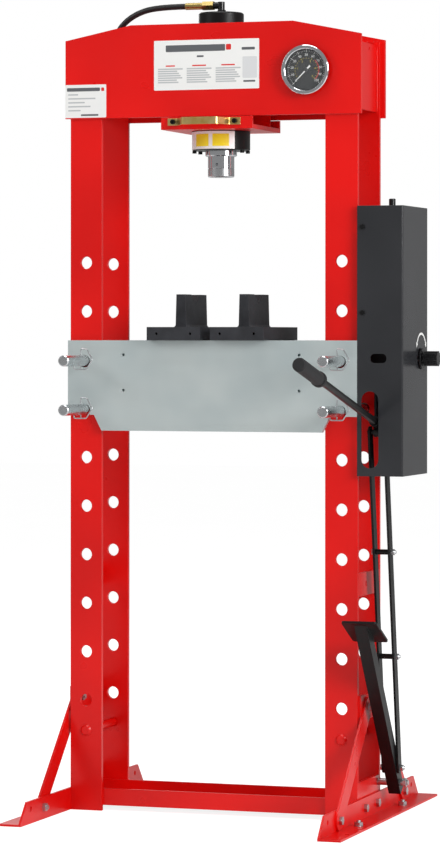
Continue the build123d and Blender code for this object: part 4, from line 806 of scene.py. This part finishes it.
class PRESS_OT_cylinder_plate(bpy.types.Operator):
    """Wraps a plain plate with two yellow fields round the front of the cylinder's flange"""
    bl_idname = "press.cylinder_plate"
    bl_label = "Cylinder plate"

    def execute(self, context):
        low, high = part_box("cylinder_barrel")
        centre_x = (low[0] + high[0]) / 2
        radius = (high[0] - low[0]) / 2
        parts = []
        for angle, width, z0, z1, lift, finish in PLATE_BANDS:
            turn = radians(angle)
            start = (sin(turn), -cos(turn), 0)
            middle_z = (z0 + z1) / 2 * MM
            out = radius + lift * MM
            clear_selection()
            band = arc_band((centre_x, 0, middle_z), (0, 0, 1), start, out, 1 * MM, radians(width), 20)
            band.data.materials.append(finish_of(finish))
            bottom, top = (z0 * MM, z1 * MM)
            for vertex in band.data.vertices:
                away = Vector((vertex.co.x - centre_x, vertex.co.y, 0))
                inner = away.length < out
                away = away.normalized() * out
                vertex.co = (centre_x + away.x, away.y, bottom if inner else top)
            smooth()
            parts.append(band)
        join_all(parts)
        settle("cylinder_plate", finish_of("label_white"), "carriage")
        bpy.ops.object.mode_set(mode="EDIT")
        bpy.ops.mesh.select_all(action="SELECT")
        bpy.ops.mesh.flip_normals()
        bpy.ops.object.mode_set(mode="OBJECT")
        return {"FINISHED"}


class PRESS_OT_knob_arrow(bpy.types.Operator):
    """Prints a bent double arrow over the release knob"""
    bl_idname = "press.knob_arrow"
    bl_label = "Knob arrow"

    def execute(self, context):
        low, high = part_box("release_knob")
        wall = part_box("pump_box")[1][0] + 0.15 * MM
        centre = (wall, (low[1] + high[1]) / 2 + ARROW_BACK, (low[2] + high[2]) / 2 + ARROW_RISE)
        start = (0, -sin(ARROW_REACH), cos(ARROW_REACH))
        band = arc_band(centre, (1, 0, 0), start, ARROW_RADIUS, ARROW_WIDTH, -2 * ARROW_REACH,
                        BAND_STEPS)
        parts = [band]
        for way in (-1, 1):
            turn = way * (ARROW_REACH + ARROW_HEAD_AHEAD)
            tip = (wall, centre[1] + ARROW_RADIUS * sin(turn), centre[2] + ARROW_RADIUS * cos(turn))
            clear_selection()
            bpy.ops.mesh.primitive_circle_add(vertices=3, radius=ARROW_HEAD, fill_type="NGON", location=tip)
            head = bpy.context.object
            point = Vector((0, cos(turn) * way, -sin(turn) * way))
            side = Vector((1, 0, 0)).cross(point)
            turned = Matrix((side, point, Vector((1, 0, 0)))).transposed().to_4x4()
            head.matrix_world = Matrix.Translation(tip) @ turned
            bpy.ops.object.transform_apply(location=True, rotation=True, scale=True)
            parts.append(head)
        join_all(parts)
        bpy.ops.object.mode_set(mode="EDIT")
        bpy.ops.mesh.select_all(action="SELECT")
        bpy.ops.mesh.normals_make_consistent(inside=False)
        bpy.ops.object.mode_set(mode="OBJECT")
        settle("knob_arrow", finish_of("white_ink"), "frame")
        return {"FINISHED"}


def bead(name, start, end, width):
    """A weld bead with its ripples, between two points in millimetres."""
    clear_selection()
    a = Vector(start) * MM
    b = Vector(end) * MM
    run = b - a
    count = max(4, int(run.length / (BEAD_RIPPLE * MM)))
    line = bpy.data.curves.new(name, "CURVE")
    line.dimensions = "3D"
    spline = line.splines.new("POLY")
    spline.points.add(count)
    for i, point in enumerate(spline.points):
        place = a + run * (i / count)
        point.co = (place.x, place.y, place.z, 1)
        point.radius = 1.0 if i % 2 else BEAD_NECK
    line.bevel_depth = width * MM / 2
    line.bevel_resolution = 2
    line.use_fill_caps = True
    made = bpy.data.objects.new(name, line)
    bpy.context.collection.objects.link(made)
    made.select_set(True)
    bpy.context.view_layer.objects.active = made
    bpy.ops.object.convert(target="MESH")
    smooth(60)
    return bpy.context.object


class PRESS_OT_weld_beads(bpy.types.Operator):
    """Runs weld beads where the frame's plates and bars meet"""
    bl_idname = "press.weld_beads"
    bl_label = "Weld beads"

    def execute(self, context):
        parts = []
        for side in (-1, 1):
            for face in (-1, 1):
                inner, outer = (side * x for x in BEAM_WELD_X)
                y = face * BEAM_WELD_Y
                parts.append(bead("weld", (inner, y, BEAM_WELD_Z), (outer, y, BEAM_WELD_Z), PLATE_BEAD_WIDTH))
                corner = (side * END_WELD_X, face * END_WELD_Y)
                low, high = END_WELD_Z
                parts.append(bead("weld", (*corner, low), (*corner, high), PLATE_BEAD_WIDTH))
                inner, outer = (side * x for x in BATTEN_WELD_X)
                y = face * BATTEN_WELD_Y
                for z in BATTEN_WELD_Z:
                    parts.append(bead("weld", (inner, y, z), (outer, y, z), BATTEN_BEAD_WIDTH))
        join_all(parts)
        settle("weld_beads", finish_of("red"), "frame")
        return {"FINISHED"}


class PRESS_OT_stage(bpy.types.Operator):
    """Sets the plain floor, the soft lamps and the camera"""
    bl_idname = "press.stage"
    bl_label = "Studio stage"

    def execute(self, context):
        sizes = context.scene.press_stage
        self.floor(sizes)
        self.lamps(sizes)
        self.camera(context)
        context.scene.view_settings.view_transform = "Standard"
        return {"FINISHED"}

    def floor(self, sizes):
        clear_selection()
        bpy.ops.mesh.primitive_plane_add(size=FLOOR_SIZE, location=(0, 0, 0))
        floor = bpy.context.object
        floor.name = "studio_floor"
        made, tree, shader, place = new_material("studio_floor_paint", {
            "Base Color": list(sizes.floor_colour), "Roughness": 0.6})
        blend_colours(tree, shader, grain(tree, place, 900, detail=2), "F5F5F5", "F9F9F9")
        seen = add_node(tree, "ShaderNodeEmission", values={
            "Color": linear("FFFFFF"), "Strength": FLOOR_WHITE_STRENGTH})
        rays = add_node(tree, "ShaderNodeLightPath")
        share = add_node(tree, "ShaderNodeMath", {"operation": "MULTIPLY"}, {1: FLOOR_WHITE_SHARE},
                         {0: rays.outputs["Is Camera Ray"]})
        mix = add_node(tree, "ShaderNodeMixShader", links={
            0: share.outputs[0], 1: shader.outputs["BSDF"], 2: seen.outputs["Emission"]})
        output = next(n for n in tree.nodes if n.type == "OUTPUT_MATERIAL")
        tree.links.new(mix.outputs[0], output.inputs["Surface"])
        floor.data.materials.append(made)

    def lamps(self, sizes):
        world = bpy.data.worlds.new("studio_world")
        bpy.context.scene.world = world
        world.use_nodes = True
        tree = world.node_tree
        tree.nodes.clear()
        rays = add_node(tree, "ShaderNodeLightPath")
        either = add_node(tree, "ShaderNodeMath", {"operation": "MAXIMUM"},
                          links={0: rays.outputs["Is Camera Ray"], 1: rays.outputs["Is Transmission Ray"]})
        strength = add_node(tree, "ShaderNodeMapRange", values={
            "To Min": sizes.world_strength, "To Max": 1.0}, links={"Value": either.outputs[0]})
        light = add_node(tree, "ShaderNodeBackground", values={"Color": (1, 1, 1, 1)},
                         links={"Strength": strength.outputs["Result"]})
        output = add_node(tree, "ShaderNodeOutputWorld")
        tree.links.new(light.outputs["Background"], output.inputs["Surface"])
        for name, place, size, share in LAMPS:
            data = bpy.data.lights.new(name, "AREA")
            data.size = size
            data.energy = sizes.key_power * share
            lamp = bpy.data.objects.new(name, data)
            bpy.context.collection.objects.link(lamp)
            lamp.location = place
            aim = Vector(AIM_POINT) - Vector(place)
            lamp.rotation_euler = aim.to_track_quat("-Z", "Y").to_euler()

    def camera(self, context):
        data = bpy.data.cameras.new("photo_camera")
        data.sensor_fit = "VERTICAL"
        data.sensor_height = SENSOR_HEIGHT
        data.lens = CAMERA_LENS
        data.shift_y = CAMERA_SHIFT
        data.clip_end = 100
        made = bpy.data.objects.new("photo_camera", data)
        bpy.context.collection.objects.link(made)
        made.location = CAMERA_PLACE
        made.rotation_euler = (radians(90 + CAMERA_PITCH), radians(CAMERA_ROLL), radians(CAMERA_YAW))
        context.scene.camera = made


class PRESS_PT_panel(bpy.types.Panel):
    """Lists the press's pieces"""
    bl_idname = "PRESS_PT_panel"
    bl_label = "Workshop Press"
    bl_space_type = "VIEW_3D"
    bl_region_type = "UI"
    bl_category = "Workshop Press"

    def draw(self, context):
        for operator in STEPS:
            self.layout.operator(operator)
        for settings in (context.scene.press_hose, context.scene.press_dial, context.scene.press_stage):
            for name in settings.__annotations__:
                self.layout.prop(settings, name)


CLASSES = [
    PressHoseSettings, PressDialSettings, PressStageSettings,
    PRESS_OT_finishes, PRESS_OT_hose, PRESS_OT_gauge_pipe, PRESS_OT_dial_marks, PRESS_OT_beam_labels,
    PRESS_OT_cylinder_plate, PRESS_OT_knob_arrow, PRESS_OT_weld_beads,
    PRESS_OT_stage, PRESS_PT_panel,
]

STEPS = [
    "press.stage", "press.finishes", "press.hose", "press.gauge_pipe", "press.dial_marks",
    "press.beam_labels", "press.cylinder_plate", "press.knob_arrow", "press.weld_beads",
]


def register():
    for made in CLASSES:
        bpy.utils.register_class(made)
    bpy.types.Scene.press_hose = bpy.props.PointerProperty(type=PressHoseSettings)
    bpy.types.Scene.press_dial = bpy.props.PointerProperty(type=PressDialSettings)
    bpy.types.Scene.press_stage = bpy.props.PointerProperty(type=PressStageSettings)


def unregister():
    del bpy.types.Scene.press_stage
    del bpy.types.Scene.press_dial
    del bpy.types.Scene.press_hose
    for made in reversed(CLASSES):
        bpy.utils.unregister_class(made)


def main():
    register()
    for step in STEPS:
        group, name = step.split(".")
        getattr(getattr(bpy.ops, group), name)()
    clear_selection()


if __name__ == "__main__":
    main()
